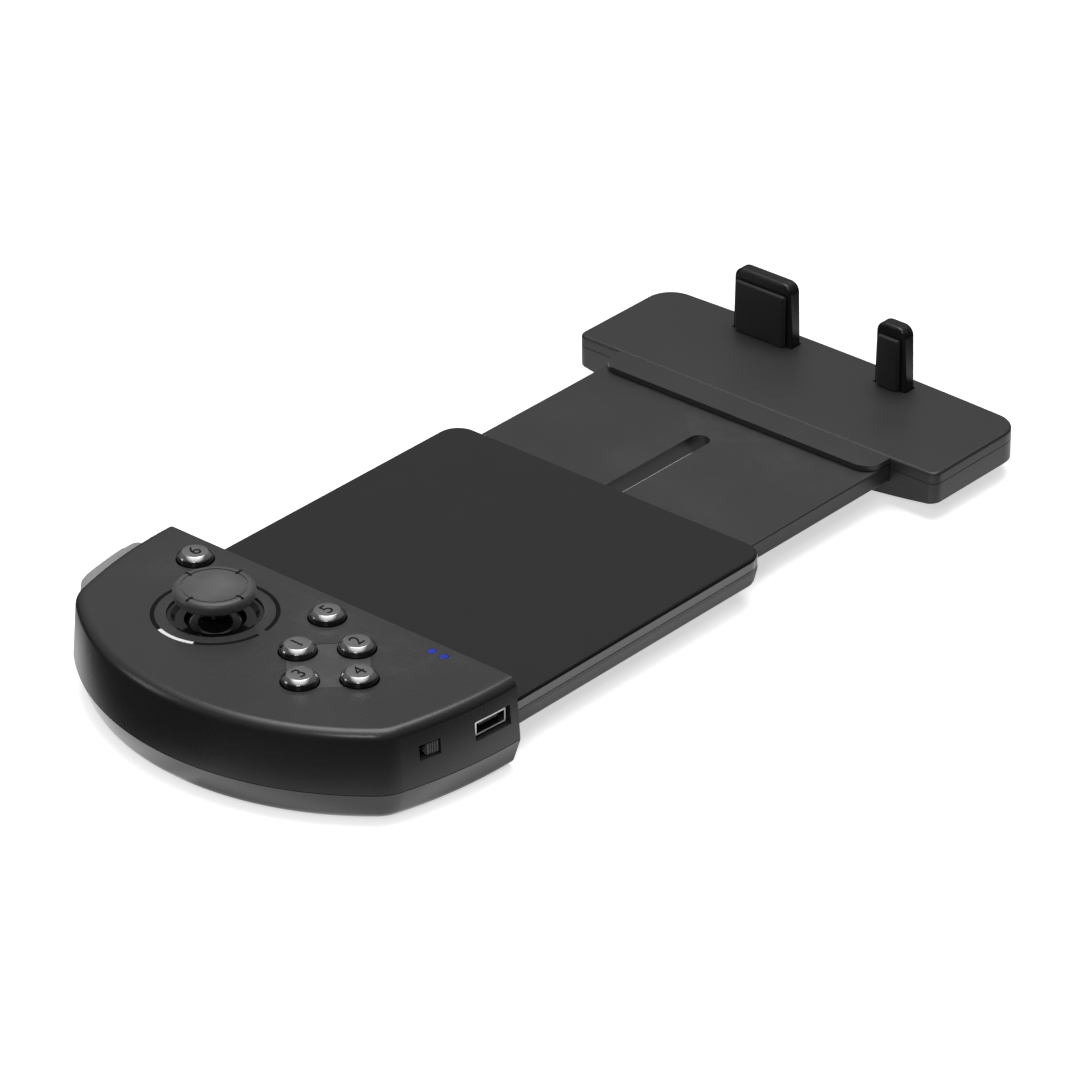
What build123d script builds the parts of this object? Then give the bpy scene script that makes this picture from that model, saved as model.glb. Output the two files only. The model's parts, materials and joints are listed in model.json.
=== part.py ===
from build123d import *
import os
from math import asin, cos, degrees, radians, sin, sqrt, tan

os.makedirs("parts", exist_ok=True)

# Mobile game controller: a D-shaped grip, a flat sleeve, and a slider with a hooked tail.
# The long way is X with the tail at +X, the side with the shoulder button is +Y, +Z is up,
# and the origin is the middle of the footprint on the surface the controller lies on.

# Space kept between the end face and the hooks, for what the clamp holds
phone_length = 143.6

# Grip housing, measured from its straight end face
body_length = 46.0
body_height = 19.0
body_half_width = 45.1
body_front_depth = 16.0
body_corner_inset = 4.8
body_corner_radius = 9.0
parting_height = 6.4
upper_lean = 4.5
lower_lean = 19.0
top_edge_radius = 2.0
bottom_edge_radius = 2.4
shell_wall = 1.8
face_thickness = 2.0
end_wall = 1.8
strip_thickness = 0.8
strip_length = 60.0
strip_height = 4.6
seam_gap = 0.15
lip_height = 1.2
lip_thickness = 0.8
fit_gap = 0.1
overrun = 30.0

# Sleeve, slider and tail heights
cradle_height = 10.6
cover_thickness = 2.35
sleeve_bottom = 4.0
sleeve_floor = 1.2
slider_gap = 0.2
sleeve_length = 77.6
sleeve_half_width = 40.0
sleeve_corner_radius = 4.8
sleeve_edge_radius = 0.8
sleeve_lean = 14.0
sleeve_lip = 0.85
sleeve_bottom_radius = 1.2
sleeve_root = 8.6
root_half_width = 30.0
root_hole_gap = 0.2
slider_half_width = 34.8
slider_end_web = 6.8
slider_seat = 11.5
slider_corner_radius = 3.0
slider_edge_radius = 0.4
cover_roof = 1.3
cover_step = 0.4

# Tail
grip_overhang = 7.4
tail_depth = 29.3
tail_half_width = 46.1
tail_edge_bulge = 1.1
tail_inner_radius = 2.0
tail_outer_radius = 6.0
tail_edge_radius = 0.6
tail_side_wall = 4.3
tail_wall = 1.8
tongue_reach = 6.3
tongue_corner_radius = 4.0
tongue_drop = 0.15

# Hooks
hook_thickness = 3.2
hook_height = 24.5
hook_wide_middle = 16.5
hook_wide_width = 14.6
hook_narrow_middle = -16.5
hook_narrow_width = 7.2
hook_corner_radius = 2.2
hook_edge_radius = 0.6
hook_lean = 1.5
hook_foot_thickness = 2.2
hook_foot_spread = 0.8
pad_thickness = 1.1
pad_height = 22.1
pad_margin = 1.0
pad_edge_radius = 0.5

# Thumb stick, placed from the end face and the centre line
stick_back = 18.3
stick_side = 14.0
stick_pivot_height = 12.0
dome_radius = 7.3
dome_wall = 0.8
dome_skirt_height = 2.3
stem_radius = 2.5
hub_radius = 2.6
inner_stem_radius = 2.2
cap_radius = 8.05
cap_low = 22.6
cap_rim_low = 23.3
cap_top = 24.8
cap_neck_radius = 4.6
cap_rim_radius = 0.7
cap_groove_radius = 6.35
cap_groove_width = 0.35
cap_groove_depth = 0.25
cap_tick_length = 1.7
cap_tick_width = 0.45
cap_socket_depth = 1.2
dish_radius = 60.0
dish_depth = 0.25
tick_count = 4
well_opening_radius = 9.15
well_wall = 0.75
well_drop = 0.4
well_floor_drop = 1.25
well_floor_thickness = 0.75
well_mouth_radius = 5.85
well_flange_radius = 11.6
well_flange_thickness = 0.85
ring_outer_radius = 12.15
ring_width = 0.85
ring_depth = 0.6
ring_gap = 0.04
marker_trim = 1.0
ring_gap_angle = 271.0
ring_gap_span = 9.0
marker_angle = 183.0
marker_span = 42.0
marker_depth = 0.3
gimbal_radius = 4.4
gimbal_bore = 3.1
gimbal_thickness = 1.8
pin_radius = 0.6
pin_gap = 0.06
post_inner = 4.7
post_outer = 6.0
post_width = 2.4
post_rise = 1.3
module_size = 14.0
module_low = 5.0
module_top = 9.0
pedestal_size = 10.0
sensor_thickness = 2.4
sensor_length = 8.6
sensor_height = 6.0

# Buttons: four round a small plate, one nearer the end face and one beyond the stick
button_radius = 3.5
button_cap_radius = 3.42
button_hole_gap = 0.25
button_pitch_radius = 7.7
button_group_back = 18.8
button_group_side = -15.1
near_column_back = 6.25
near_button_side = -3.15
far_button_side = 30.7
plunger_rise = 0.9
cap_rise = 1.75
cap_bevel_height = 0.5
cap_bevel_width = 0.42
cap_peg_radius = 2.0
cap_peg_depth = 0.5
flange_radius = 4.2
flange_thickness = 1.0
board_top = 11.0
sheet_thickness = 0.9
dome_foot_radius = 3.4
dome_crown_radius = 2.5
dome_skin = 0.6
sheet_margin = 5.2
sheet_single = 7.2
flange_drop = 0.1
dome_crown_thickness = 0.8
sheet_corner_radius = 2.0
panel_size = 15.6
panel_turn = 45
panel_depth = 0.5
panel_drop = 0.05

# Electronics
board_thickness = 1.2
board_margin = 4.4
board_back_gap = 2.1
board_hole_gap = 0.4
board_notch = 2.8
board_post_radius = 1.8
board_post_near = 13.0
board_post_inset = 8.6
board_post_front = 6.0
board_post_corner_front = 13.0
board_post_corner_side = 28.0
board_hole = 20.4
battery_length = 24.0
battery_width = 30.0
battery_thickness = 4.2
battery_edge_radius = 1.2
battery_back = 21.4
battery_side = -14.0
usb_back = 6.6
usb_width = 7.8
usb_thickness = 2.9
usb_depth = 5.2
usb_skin = 0.35
usb_recess = 1.3
usb_pocket_width = 9.0
usb_pocket_height = 3.9
usb_tongue_width = 5.0
usb_tongue_thickness = 0.7
usb_tongue_depth = 4.2
usb_tongue_lift = 0.35
switch_back = 21.4
switch_width = 8.4
switch_body_height = 3.6
switch_body_depth = 3.2
switch_pocket_width = 4.7
switch_pocket_height = 3.1
switch_inset = 2.9
switch_slot_depth = 0.6
knob_width = 2.5
knob_height = 2.3
knob_depth = 2.5
knob_rib_width = 0.25
knob_rib_pitch = 0.5
knob_rib_depth = 0.35
knob_ribs = 4
knob_start = 0.8
led_back = 2.9
led_side = -27.5
led_spread = 3.0
led_radius = 0.9
led_flange_radius = 1.05
led_flange_thickness = 0.6
led_chip_size = 1.4
led_chip_height = 0.7
led_pipe_gap = 0.3

# Shoulder button on the far side wall
shoulder_front = 5.5
shoulder_back = 26.5
shoulder_low = 10.9
shoulder_high = 16.9
shoulder_stand = 2.7
shoulder_depth = 4.7
shoulder_corner_radius = 2.4
shoulder_gap = 0.45
shoulder_pin_back = 4.7
shoulder_pin_inset = 6.9
shoulder_pin_radius = 1.0
shoulder_boss_radius = 2.2
shoulder_arm_low = 12.2
shoulder_arm_high = 15.4
shoulder_pin_low = 10.2
shoulder_pin_clear = 0.06
shoulder_arm_reach = 3.6
shoulder_arm_rise = 5.4
shoulder_arm_width = 2.9
shoulder_arm_slope = 0.5
shoulder_edge_radius = 0.4
shoulder_nub_back = 20.0
shoulder_nub_inset = 7.2
shoulder_nub_radius = 1.1
shoulder_nub_height = 12.8
shoulder_switch_size = 5.0
shoulder_switch_height = 3.4
shoulder_switch_plunger = 1.2
shoulder_switch_gap = 1.1

# Fasteners
screw_head_radius = 1.5
screw_head_height = 1.2
screw_shank_radius = 0.8
screw_shank_length = 6.6
screw_slot_radius = 0.9
screw_slot_depth = 0.6
screw_recess = 0.4
boss_radius = 2.6
screw_gap = 0.15
hex_sides = 6
right_angle = 90
body_screw_near = 5.4
body_screw_near_side = 20.0
body_screw_corner = 6.2
body_screw_corner_inset = 11.6
body_screw_front = 8.5
body_screw_front_side = 14.0
sleeve_screw_rows = [8.0, 66.0]
sleeve_screw_inset = 2.8
sleeve_screw_length = 4.2
tail_screw_near = 4.6
tail_screw_inset = 6.6
tail_screw_far = 9.4
tail_screw_recess = 3.4
tail_screw_length = 4.6
rib_thickness = 2.0
rib_half_width = 20.0
rib_near = 3.0

# Clamp stop and friction leaf
stop_place = 68.0
stop_radius = 2.0
slot_gap = 0.2
travel_in = 37.0
travel_out = 12.0
leaf_length = 16.0
leaf_width = 6.0
leaf_thickness = 0.4
leaf_back = 10.0
leaf_side = 18.0
leaf_pocket_depth = 1.0
leaf_gap = 0.03
trough_depth = 1.6
trough_width = 8.0
trough_length = 44.0
trough_start = 22.0
trough_sides = [-26.0, -10.0, 10.0, 26.0]

# Places that follow from the sizes above
body_corner_back = body_length - body_front_depth
body_corner_half_width = body_half_width - body_corner_inset
overall_length = body_length + phone_length + grip_overhang
end_face_x = body_length - overall_length / 2
grip_x = end_face_x + phone_length
tail_outer_x = overall_length / 2
tail_inner_x = tail_outer_x - tail_depth
strip_middle = (cradle_height + body_height) / 2
slider_low = sleeve_bottom + sleeve_floor + slider_gap
slider_high = cradle_height - cover_roof - slider_gap
cover_low = cradle_height - cover_thickness
stick_x = end_face_x - stick_back
stick_y = stick_side
hook_x = grip_x + pad_thickness
hook_foot_low = cover_low - fit_gap - hook_foot_thickness
hooks = [(hook_wide_middle, hook_wide_width), (hook_narrow_middle, hook_narrow_width)]
slider_end_x = tail_inner_x + slider_seat
slider_ribs_at = [tail_inner_x + rib_near, slider_end_x - rib_thickness]
stop_x = end_face_x + stop_place
slider_inset = stop_place - travel_out - stop_radius - slot_gap - slider_end_web
leaves_at = [(end_face_x + slider_inset + leaf_back, way * leaf_side) for way in (-1, 1)]
leaf_low = sleeve_bottom + sleeve_floor + leaf_gap
leaf_top = slider_low + leaf_pocket_depth
leaf_rise = leaf_top - leaf_low - leaf_thickness
body_side_radius = ((body_half_width - body_corner_half_width) ** 2 + body_corner_back ** 2) / (
    2 * (body_half_width - body_corner_half_width))
face_under = body_height - face_thickness
group_x = end_face_x - button_group_back
post_split = sleeve_bottom + sleeve_floor + fit_gap
board_low = board_top - board_thickness
screw_seat = screw_recess + screw_head_height
shoulder_pin_x = end_face_x - shoulder_pin_back
shoulder_pin_side = body_half_width - shoulder_pin_inset
shoulder_nub_side = body_half_width - shoulder_nub_inset
sheet_top = board_top + sheet_thickness
plunger_low = face_under - flange_drop - flange_thickness
well_collar_radius = well_opening_radius - fit_gap
well_floor_top = body_height - well_floor_drop
shoulder_middle_x = end_face_x - (shoulder_front + shoulder_back) / 2
button_places = [
    (group_x, button_group_side + button_pitch_radius),
    (group_x + button_pitch_radius, button_group_side),
    (group_x - button_pitch_radius, button_group_side),
    (group_x, button_group_side - button_pitch_radius),
    (end_face_x - near_column_back, near_button_side),
    (end_face_x - near_column_back, far_button_side),
]
led_places = [(end_face_x - led_back, led_side + way * led_spread / 2) for way in (-1, 1)]
board_posts_at = [
    (end_face_x - board_post_near, body_half_width - board_post_inset),
    (end_face_x - board_post_near, board_post_inset - body_half_width),
    (end_face_x - body_length + board_post_front, 0),
    (end_face_x - body_length + board_post_corner_front, board_post_corner_side),
]
body_screws_at = [
    (end_face_x - body_screw_near, body_screw_near_side),
    (end_face_x - body_screw_corner, body_screw_corner_inset - body_half_width),
    (end_face_x - body_length + body_screw_front, body_screw_front_side),
    (end_face_x - body_length + body_screw_front, -body_screw_front_side),
]
sleeve_screws_at = [(end_face_x + along, way * (sleeve_half_width - sleeve_screw_inset))
                    for along in sleeve_screw_rows for way in (-1, 1)]
tail_screws_at = [(x, way * (tail_half_width - tail_screw_inset))
                  for x in (tail_inner_x + tail_screw_near, tail_outer_x - tail_screw_far) for way in (-1, 1)]


def side_turn(back):
    """Angle of the side wall to the length axis, in degrees, at one distance behind the end face."""
    return degrees(asin(back / body_side_radius))


def side_wall(back):
    """Half width of the grip at the parting plane, at one distance behind the end face."""
    return body_half_width - body_side_radius + sqrt(body_side_radius ** 2 - back ** 2)


def grip_outline(height, growth, end=overrun):
    """D-shaped plan outline of the grip at one height, grown or shrunk, ending that far past the end face."""
    with BuildSketch(Plane((end_face_x, 0, height)), mode=Mode.PRIVATE) as outline:
        with BuildLine():
            ThreePointArc((0, body_half_width), (-body_corner_back / 2, side_wall(body_corner_back / 2)),
                          (-body_corner_back, body_corner_half_width))
            ThreePointArc((-body_corner_back, body_corner_half_width), (-body_length, 0),
                          (-body_corner_back, -body_corner_half_width))
            ThreePointArc((-body_corner_back, -body_corner_half_width),
                          (-body_corner_back / 2, -side_wall(body_corner_back / 2)), (0, -body_half_width))
            Polyline((0, -body_half_width), (overrun, -body_half_width), (overrun, body_half_width),
                     (0, body_half_width))
        make_face()
        fillet(outline.vertices().sort_by(Axis.X)[:2], radius=body_corner_radius)
        if growth != 0:
            offset(amount=growth)
        with Locations((end, 0)):
            Rectangle(body_length + 2 * overrun, 2 * body_half_width + overrun,
                      align=(Align.MAX, Align.CENTER), mode=Mode.INTERSECT)
    return outline.sketch


def sector(middle, span, reach):
    """Corners of a wedge from the centre, by its middle angle, its span and its reach."""
    angles = [radians(middle + way * span / 2) for way in (-1, 0, 1)]
    return [(0, 0)] + [(reach * cos(angle), reach * sin(angle)) for angle in angles]


def hook_root_width(width):
    """Width of a hook's blade at its foot, from its width at the top."""
    return width + 2 * (hook_height - hook_foot_low) * tan(radians(hook_lean))


def tail_outline(height, growth):
    """Plan outline of the tail at one height: straight inner edge, slightly bulging outer edge."""
    with BuildSketch(Plane((tail_outer_x, 0, height)), mode=Mode.PRIVATE) as outline:
        with BuildLine():
            ThreePointArc((-tail_edge_bulge, tail_half_width), (0, 0), (-tail_edge_bulge, -tail_half_width))
            Polyline((-tail_edge_bulge, -tail_half_width), (-tail_depth, -tail_half_width),
                     (-tail_depth, tail_half_width), (-tail_edge_bulge, tail_half_width))
        make_face()
        fillet(outline.vertices().sort_by(Axis.X)[:2], radius=tail_inner_radius)
        fillet(outline.vertices().sort_by(Axis.X)[-2:], radius=tail_outer_radius)
        if growth != 0:
            offset(amount=growth)
    return outline.sketch


def hull_section(x, growth):
    """Cross-section of the tail's boat-shaped underside at one place along the length."""
    with BuildSketch(Plane.YZ.offset(x), mode=Mode.PRIVATE) as outline:
        with BuildLine():
            ThreePointArc((-tail_half_width - growth, cover_low - tail_side_wall - growth), (0, -growth),
                          (tail_half_width + growth, cover_low - tail_side_wall - growth))
            Polyline((tail_half_width + growth, cover_low - tail_side_wall - growth),
                     (tail_half_width + growth, cradle_height), (-tail_half_width - growth, cradle_height),
                     (-tail_half_width - growth, cover_low - tail_side_wall - growth))
        make_face()
    return outline.sketch


# Placements on the slanted side walls

usb_at = Location((end_face_x - usb_back, -side_wall(usb_back), board_top + usb_thickness / 2),
                  (0, 0, -side_turn(usb_back)))
switch_at = Location((end_face_x - switch_back, -side_wall(switch_back), board_top + switch_body_height / 2),
                     (0, 0, -side_turn(switch_back)))


# Upper shell of the grip

with BuildPart() as top_shell:
    extrude(grip_outline(parting_height, 0), amount=body_height - parting_height, taper=upper_lean)
    fillet(top_shell.faces().sort_by(Axis.Z)[-1].edges(), radius=top_edge_radius)
    with Locations((end_face_x, 0, 0)):
        Box(2 * overrun, 4 * body_half_width, 2 * body_height,
            align=(Align.MIN, Align.CENTER, Align.CENTER), mode=Mode.SUBTRACT)
    # hollow inside, closed by the straight end wall
    extrude(grip_outline(parting_height, -shell_wall, -end_wall), amount=face_under - parting_height,
            taper=upper_lean, mode=Mode.SUBTRACT)
    with Locations((end_face_x - end_wall, 0, face_under)):
        Box(2 * end_wall, 2 * (body_half_width - 2 * shell_wall), face_under - parting_height,
            align=(Align.MAX, Align.CENTER, Align.MAX), mode=Mode.SUBTRACT)
    # opening in the end wall where the sleeve goes in
    with Locations((end_face_x, 0, 0)):
        Box(2 * sleeve_root, 2 * (sleeve_half_width + fit_gap), 2 * (cradle_height + fit_gap),
            mode=Mode.SUBTRACT)
    # recess for the soft strip on the end wall
    with Locations((end_face_x, 0, strip_middle)):
        Box(2 * strip_thickness, strip_length, strip_height, mode=Mode.SUBTRACT)
    # screw posts and the upper seat of the shoulder pin
    with BuildSketch(Plane.XY.offset(face_under)):
        with Locations(*body_screws_at):
            Circle(boss_radius)
    extrude(amount=-(face_under - post_split))
    with BuildSketch(Plane.XY.offset(post_split)):
        with Locations(*body_screws_at):
            Circle(screw_shank_radius)
    extrude(amount=screw_shank_length, mode=Mode.SUBTRACT)
    with BuildSketch(Plane((shoulder_pin_x, shoulder_pin_side, face_under))):
        Circle(shoulder_boss_radius)
    extrude(amount=-(face_under - shoulder_arm_high - fit_gap))
    with BuildSketch(Plane((shoulder_pin_x, shoulder_pin_side, shoulder_arm_high))):
        Circle(shoulder_pin_radius)
    extrude(amount=face_under - shoulder_arm_high, mode=Mode.SUBTRACT)
    # mouth of the stick, the ring groove round it, the button holes and the light holes
    with BuildSketch(Plane.XY.offset(body_height)):
        with Locations((stick_x, stick_y)):
            Circle(well_opening_radius)
        with Locations(*button_places):
            Circle(button_radius + button_hole_gap)
        with Locations(*led_places):
            Circle(led_radius + fit_gap)
    extrude(amount=-2 * face_thickness, mode=Mode.SUBTRACT)
    with BuildSketch(Plane((stick_x, stick_y, body_height))):
        Circle(ring_outer_radius)
        Circle(ring_outer_radius - ring_width, mode=Mode.SUBTRACT)
        Polygon(*sector(ring_gap_angle, ring_gap_span, overrun), align=None, mode=Mode.SUBTRACT)
    extrude(amount=-ring_depth, mode=Mode.SUBTRACT)
    # shallow seat for the square plate between the four close buttons
    with BuildSketch(Plane((group_x, button_group_side, body_height))):
        Rectangle(panel_size, panel_size, rotation=panel_turn)
    extrude(amount=-panel_depth, mode=Mode.SUBTRACT)
    # openings in the near side wall for the socket and the slide switch
    with Locations(usb_at):
        Box(usb_pocket_width, 2 * usb_depth, usb_pocket_height, mode=Mode.SUBTRACT)
    with Locations(switch_at):
        Box(switch_pocket_width, 2 * usb_depth, switch_pocket_height, mode=Mode.SUBTRACT)
    # window in the far side wall for the shoulder button
    with Locations((shoulder_middle_x, side_wall(shoulder_back) - 2 * shell_wall,
                    shoulder_low - shoulder_gap)):
        Box(shoulder_back - shoulder_front + 2 * shoulder_gap, overrun,
            shoulder_high - shoulder_low + 2 * shoulder_gap,
            align=(Align.CENTER, Align.MIN, Align.MIN), mode=Mode.SUBTRACT)
top_shell.part.label = "top_shell"
export_step(top_shell.part, "parts/top_shell.step")


# Lower shell of the grip

with BuildPart() as bottom_shell:
    extrude(grip_outline(parting_height - seam_gap, 0), amount=parting_height - seam_gap, dir=(0, 0, -1),
            taper=lower_lean)
    fillet(bottom_shell.faces().sort_by(Axis.Z)[0].edges(), radius=bottom_edge_radius)
    with Locations((end_face_x, 0, 0)):
        Box(2 * overrun, 4 * body_half_width, 2 * body_height,
            align=(Align.MIN, Align.CENTER, Align.CENTER), mode=Mode.SUBTRACT)
    # lip that stands up inside the upper shell
    extrude(grip_outline(parting_height - seam_gap, -shell_wall - fit_gap, -end_wall - fit_gap),
            amount=lip_height, taper=upper_lean)
    # hollow inside
    extrude(grip_outline(parting_height - seam_gap, -shell_wall - lip_thickness, -end_wall - lip_thickness),
            amount=2 * lip_height, mode=Mode.SUBTRACT)
    extrude(grip_outline(parting_height - seam_gap, -shell_wall - lip_thickness, -end_wall - lip_thickness),
            amount=parting_height - seam_gap - shell_wall, dir=(0, 0, -1), taper=lower_lean, mode=Mode.SUBTRACT)
    # screw bosses, posts under the board and the raised seat of the stick's base
    with BuildSketch(Plane.XY.offset(shell_wall)):
        with Locations(*body_screws_at):
            Circle(boss_radius)
    extrude(amount=sleeve_bottom - shell_wall - fit_gap)
    with BuildSketch(Plane.XY.offset(shell_wall)):
        with Locations(*board_posts_at):
            Circle(board_post_radius)
    extrude(amount=board_low - shell_wall)
    with BuildSketch(Plane((stick_x, stick_y, shell_wall))):
        Rectangle(pedestal_size, pedestal_size)
    extrude(amount=module_low - shell_wall)
    # lower seat of the shoulder pin
    with BuildSketch(Plane((shoulder_pin_x, shoulder_pin_side, shell_wall))):
        Circle(shoulder_boss_radius)
    extrude(amount=shoulder_arm_low - fit_gap - shell_wall)
    with BuildSketch(Plane((shoulder_pin_x, shoulder_pin_side, shoulder_pin_low))):
        Circle(shoulder_pin_radius)
    extrude(amount=shoulder_arm_low - shoulder_pin_low, mode=Mode.SUBTRACT)
    # slot in the end wall for the sleeve and its root, and the screw recesses in the underside
    with Locations((end_face_x, 0, sleeve_bottom - fit_gap)):
        Box(2 * (end_wall + fit_gap), 2 * (sleeve_half_width + fit_gap), body_height,
            align=(Align.CENTER, Align.CENTER, Align.MIN), mode=Mode.SUBTRACT)
        Box(2 * (sleeve_root + fit_gap), 2 * (root_half_width + fit_gap), body_height,
            align=(Align.CENTER, Align.CENTER, Align.MIN), mode=Mode.SUBTRACT)
    with BuildSketch(Plane.XY):
        with Locations(*body_screws_at):
            Circle(screw_head_radius + screw_gap)
    extrude(amount=screw_seat, mode=Mode.SUBTRACT)
    with BuildSketch(Plane.XY):
        with Locations(*body_screws_at):
            Circle(screw_shank_radius + screw_gap)
    extrude(amount=sleeve_bottom, mode=Mode.SUBTRACT)
bottom_shell.part.label = "bottom_shell"
export_step(bottom_shell.part, "parts/bottom_shell.step")


# Soft strip on the end wall and the square plate between the buttons

with BuildPart() as end_pad:
    with Locations((end_face_x, 0, strip_middle)):
        Box(strip_thickness, strip_length, strip_height, align=(Align.MAX, Align.CENTER, Align.CENTER))
end_pad.part.label = "end_pad"
export_step(end_pad.part, "parts/end_pad.step")

with BuildPart() as button_panel:
    with BuildSketch(Plane((group_x, button_group_side, body_height - panel_depth))):
        Rectangle(panel_size - fit_gap, panel_size - fit_gap, rotation=panel_turn)
        with PolarLocations(button_pitch_radius, len(button_places) - 2):
            Circle(button_radius + button_hole_gap, mode=Mode.SUBTRACT)
    extrude(amount=panel_depth - panel_drop)
button_panel.part.label = "button_panel"
export_step(button_panel.part, "parts/button_panel.step")


# Screws

def screws(places, low, length):
    """Pan-headed screws standing head down at the given places, as separate solids."""
    with BuildPart() as group:
        with BuildSketch(Plane.XY.offset(low)):
            with Locations(*places):
                Circle(screw_head_radius)
        extrude(amount=screw_head_height)
        with BuildSketch(Plane.XY.offset(low)):
            with Locations(*places):
                RegularPolygon(screw_slot_radius, hex_sides)
        extrude(amount=screw_slot_depth, mode=Mode.SUBTRACT)
        with BuildSketch(Plane.XY.offset(low + screw_head_height)):
            with Locations(*places):
                Circle(screw_shank_radius)
        extrude(amount=length)
    return group.part


body_screws = screws(body_screws_at, screw_recess, screw_shank_length)
body_screws.label = "body_screws"
export_step(body_screws, "parts/body_screws.step")

sleeve_screws = screws(sleeve_screws_at, sleeve_bottom + screw_recess, sleeve_screw_length)
sleeve_screws.label = "sleeve_screws"
export_step(sleeve_screws, "parts/sleeve_screws.step")

tail_screws = screws(tail_screws_at, tail_screw_recess, tail_screw_length)
tail_screws.label = "tail_screws"
export_step(tail_screws, "parts/tail_screws.step")


# Ring line round the stick, with its white arc

with BuildPart() as ring_trim:
    with BuildSketch(Plane((stick_x, stick_y, body_height - ring_depth))):
        Circle(ring_outer_radius - ring_gap)
        Circle(ring_outer_radius - ring_width + ring_gap, mode=Mode.SUBTRACT)
        Polygon(*sector(ring_gap_angle, ring_gap_span, overrun), align=None, mode=Mode.SUBTRACT)
    extrude(amount=ring_depth)
    with BuildSketch(Plane((stick_x, stick_y, body_height))):
        Circle(ring_outer_radius)
        Circle(ring_outer_radius - ring_width, mode=Mode.SUBTRACT)
        Polygon(*sector(marker_angle, marker_span, overrun), align=None, mode=Mode.INTERSECT)
    extrude(amount=-marker_depth, mode=Mode.SUBTRACT)
ring_trim.part.label = "ring_trim"
export_step(ring_trim.part, "parts/ring_trim.step")

with BuildPart() as ring_marker:
    with BuildSketch(Plane((stick_x, stick_y, body_height - marker_depth))):
        Circle(ring_outer_radius - ring_gap)
        Circle(ring_outer_radius - ring_width + ring_gap, mode=Mode.SUBTRACT)
        Polygon(*sector(marker_angle, marker_span - marker_trim, overrun), align=None, mode=Mode.INTERSECT)
    extrude(amount=marker_depth)
ring_marker.part.label = "ring_marker"
export_step(ring_marker.part, "parts/ring_marker.step")


# Dish round the stick's dome

with BuildPart() as stick_well:
    with BuildSketch(Plane((stick_x, stick_y, 0), x_dir=(1, 0, 0), z_dir=(0, -1, 0))):
        Polygon((well_mouth_radius, well_floor_top - well_floor_thickness),
                (well_collar_radius - well_wall, well_floor_top - well_floor_thickness),
                (well_collar_radius - well_wall, face_under - fit_gap - well_flange_thickness),
                (well_flange_radius, face_under - fit_gap - well_flange_thickness),
                (well_flange_radius, face_under - fit_gap),
                (well_collar_radius, face_under - fit_gap),
                (well_collar_radius, body_height - well_drop),
                (well_collar_radius - well_wall, body_height - well_drop),
                (well_collar_radius - 2 * well_wall, well_floor_top),
                (well_mouth_radius, well_floor_top), align=None)
    revolve(axis=Axis((stick_x, stick_y, 0), (0, 0, 1)))
stick_well.part.label = "stick_well"
export_step(stick_well.part, "parts/stick_well.step")


# Base of the stick: housing, two bearing posts, two position sensors

with BuildPart() as stick_module:
    with BuildSketch(Plane((stick_x, stick_y, module_low))):
        Rectangle(module_size, module_size)
    extrude(amount=module_top - module_low)
    with BuildSketch(Plane((stick_x, stick_y, module_top))):
        with Locations((-(post_inner + post_outer) / 2, 0), ((post_inner + post_outer) / 2, 0)):
            Rectangle(post_outer - post_inner, post_width)
    extrude(amount=stick_pivot_height + post_rise - module_top)
    with Locations(Location((stick_x, stick_y, stick_pivot_height), (0, right_angle, 0))):
        Cylinder(pin_radius + pin_gap, module_size, mode=Mode.SUBTRACT)
stick_module.part.label = "stick_module"
export_step(stick_module.part, "parts/stick_module.step")

with BuildPart() as stick_sensors:
    with Locations((stick_x + module_size / 2, stick_y, module_low)):
        Box(sensor_thickness, sensor_length, sensor_height, align=(Align.MIN, Align.CENTER, Align.MIN))
    with Locations((stick_x, stick_y + module_size / 2, module_low)):
        Box(sensor_length, sensor_thickness, sensor_height, align=(Align.CENTER, Align.MIN, Align.MIN))
stick_sensors.part.label = "stick_sensors"
export_step(stick_sensors.part, "parts/stick_sensors.step")


# Gimbal ring, with its pins along the length axis and bores across

with BuildPart() as gimbal_ring:
    with Locations((stick_x, stick_y, stick_pivot_height)):
        Cylinder(gimbal_radius, gimbal_thickness)
        Cylinder(gimbal_bore, gimbal_thickness, mode=Mode.SUBTRACT)
    with Locations(Location((stick_x + gimbal_bore, stick_y, stick_pivot_height), (0, right_angle, 0)),
                   Location((stick_x - gimbal_bore, stick_y, stick_pivot_height), (0, -right_angle, 0))):
        Cylinder(pin_radius, post_outer - gimbal_bore - fit_gap, align=(Align.CENTER, Align.CENTER, Align.MIN))
    with Locations((stick_x, stick_y, stick_pivot_height)):
        Cylinder(gimbal_bore, gimbal_thickness, mode=Mode.SUBTRACT)
    with Locations(Location((stick_x, stick_y, stick_pivot_height), (right_angle, 0, 0))):
        Cylinder(pin_radius + pin_gap, 2 * gimbal_radius, mode=Mode.SUBTRACT)
gimbal_ring.part.label = "gimbal_ring"
export_step(gimbal_ring.part, "parts/gimbal_ring.step")


# Stem with its hub, cross pins and dome

with BuildPart() as stick_stem:
    with Locations((stick_x, stick_y, stick_pivot_height)):
        Sphere(dome_radius)
        Sphere(dome_radius - dome_wall, mode=Mode.SUBTRACT)
    with Locations((stick_x, stick_y, stick_pivot_height + dome_skirt_height)):
        Box(overrun, overrun, overrun, align=(Align.CENTER, Align.CENTER, Align.MAX), mode=Mode.SUBTRACT)
    with Locations((stick_x, stick_y, stick_pivot_height)):
        Sphere(hub_radius)
        Cylinder(inner_stem_radius, dome_radius - dome_wall / 2, align=(Align.CENTER, Align.CENTER, Align.MIN))
        Cylinder(pin_radius, 2 * (gimbal_radius - fit_gap), rotation=(right_angle, 0, 0))
    with Locations((stick_x, stick_y, stick_pivot_height + dome_radius - dome_wall)):
        Cylinder(stem_radius, cap_low + cap_socket_depth - stick_pivot_height - dome_radius + dome_wall,
                 align=(Align.CENTER, Align.CENTER, Align.MIN))
stick_stem.part.label = "stick_stem"
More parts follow.
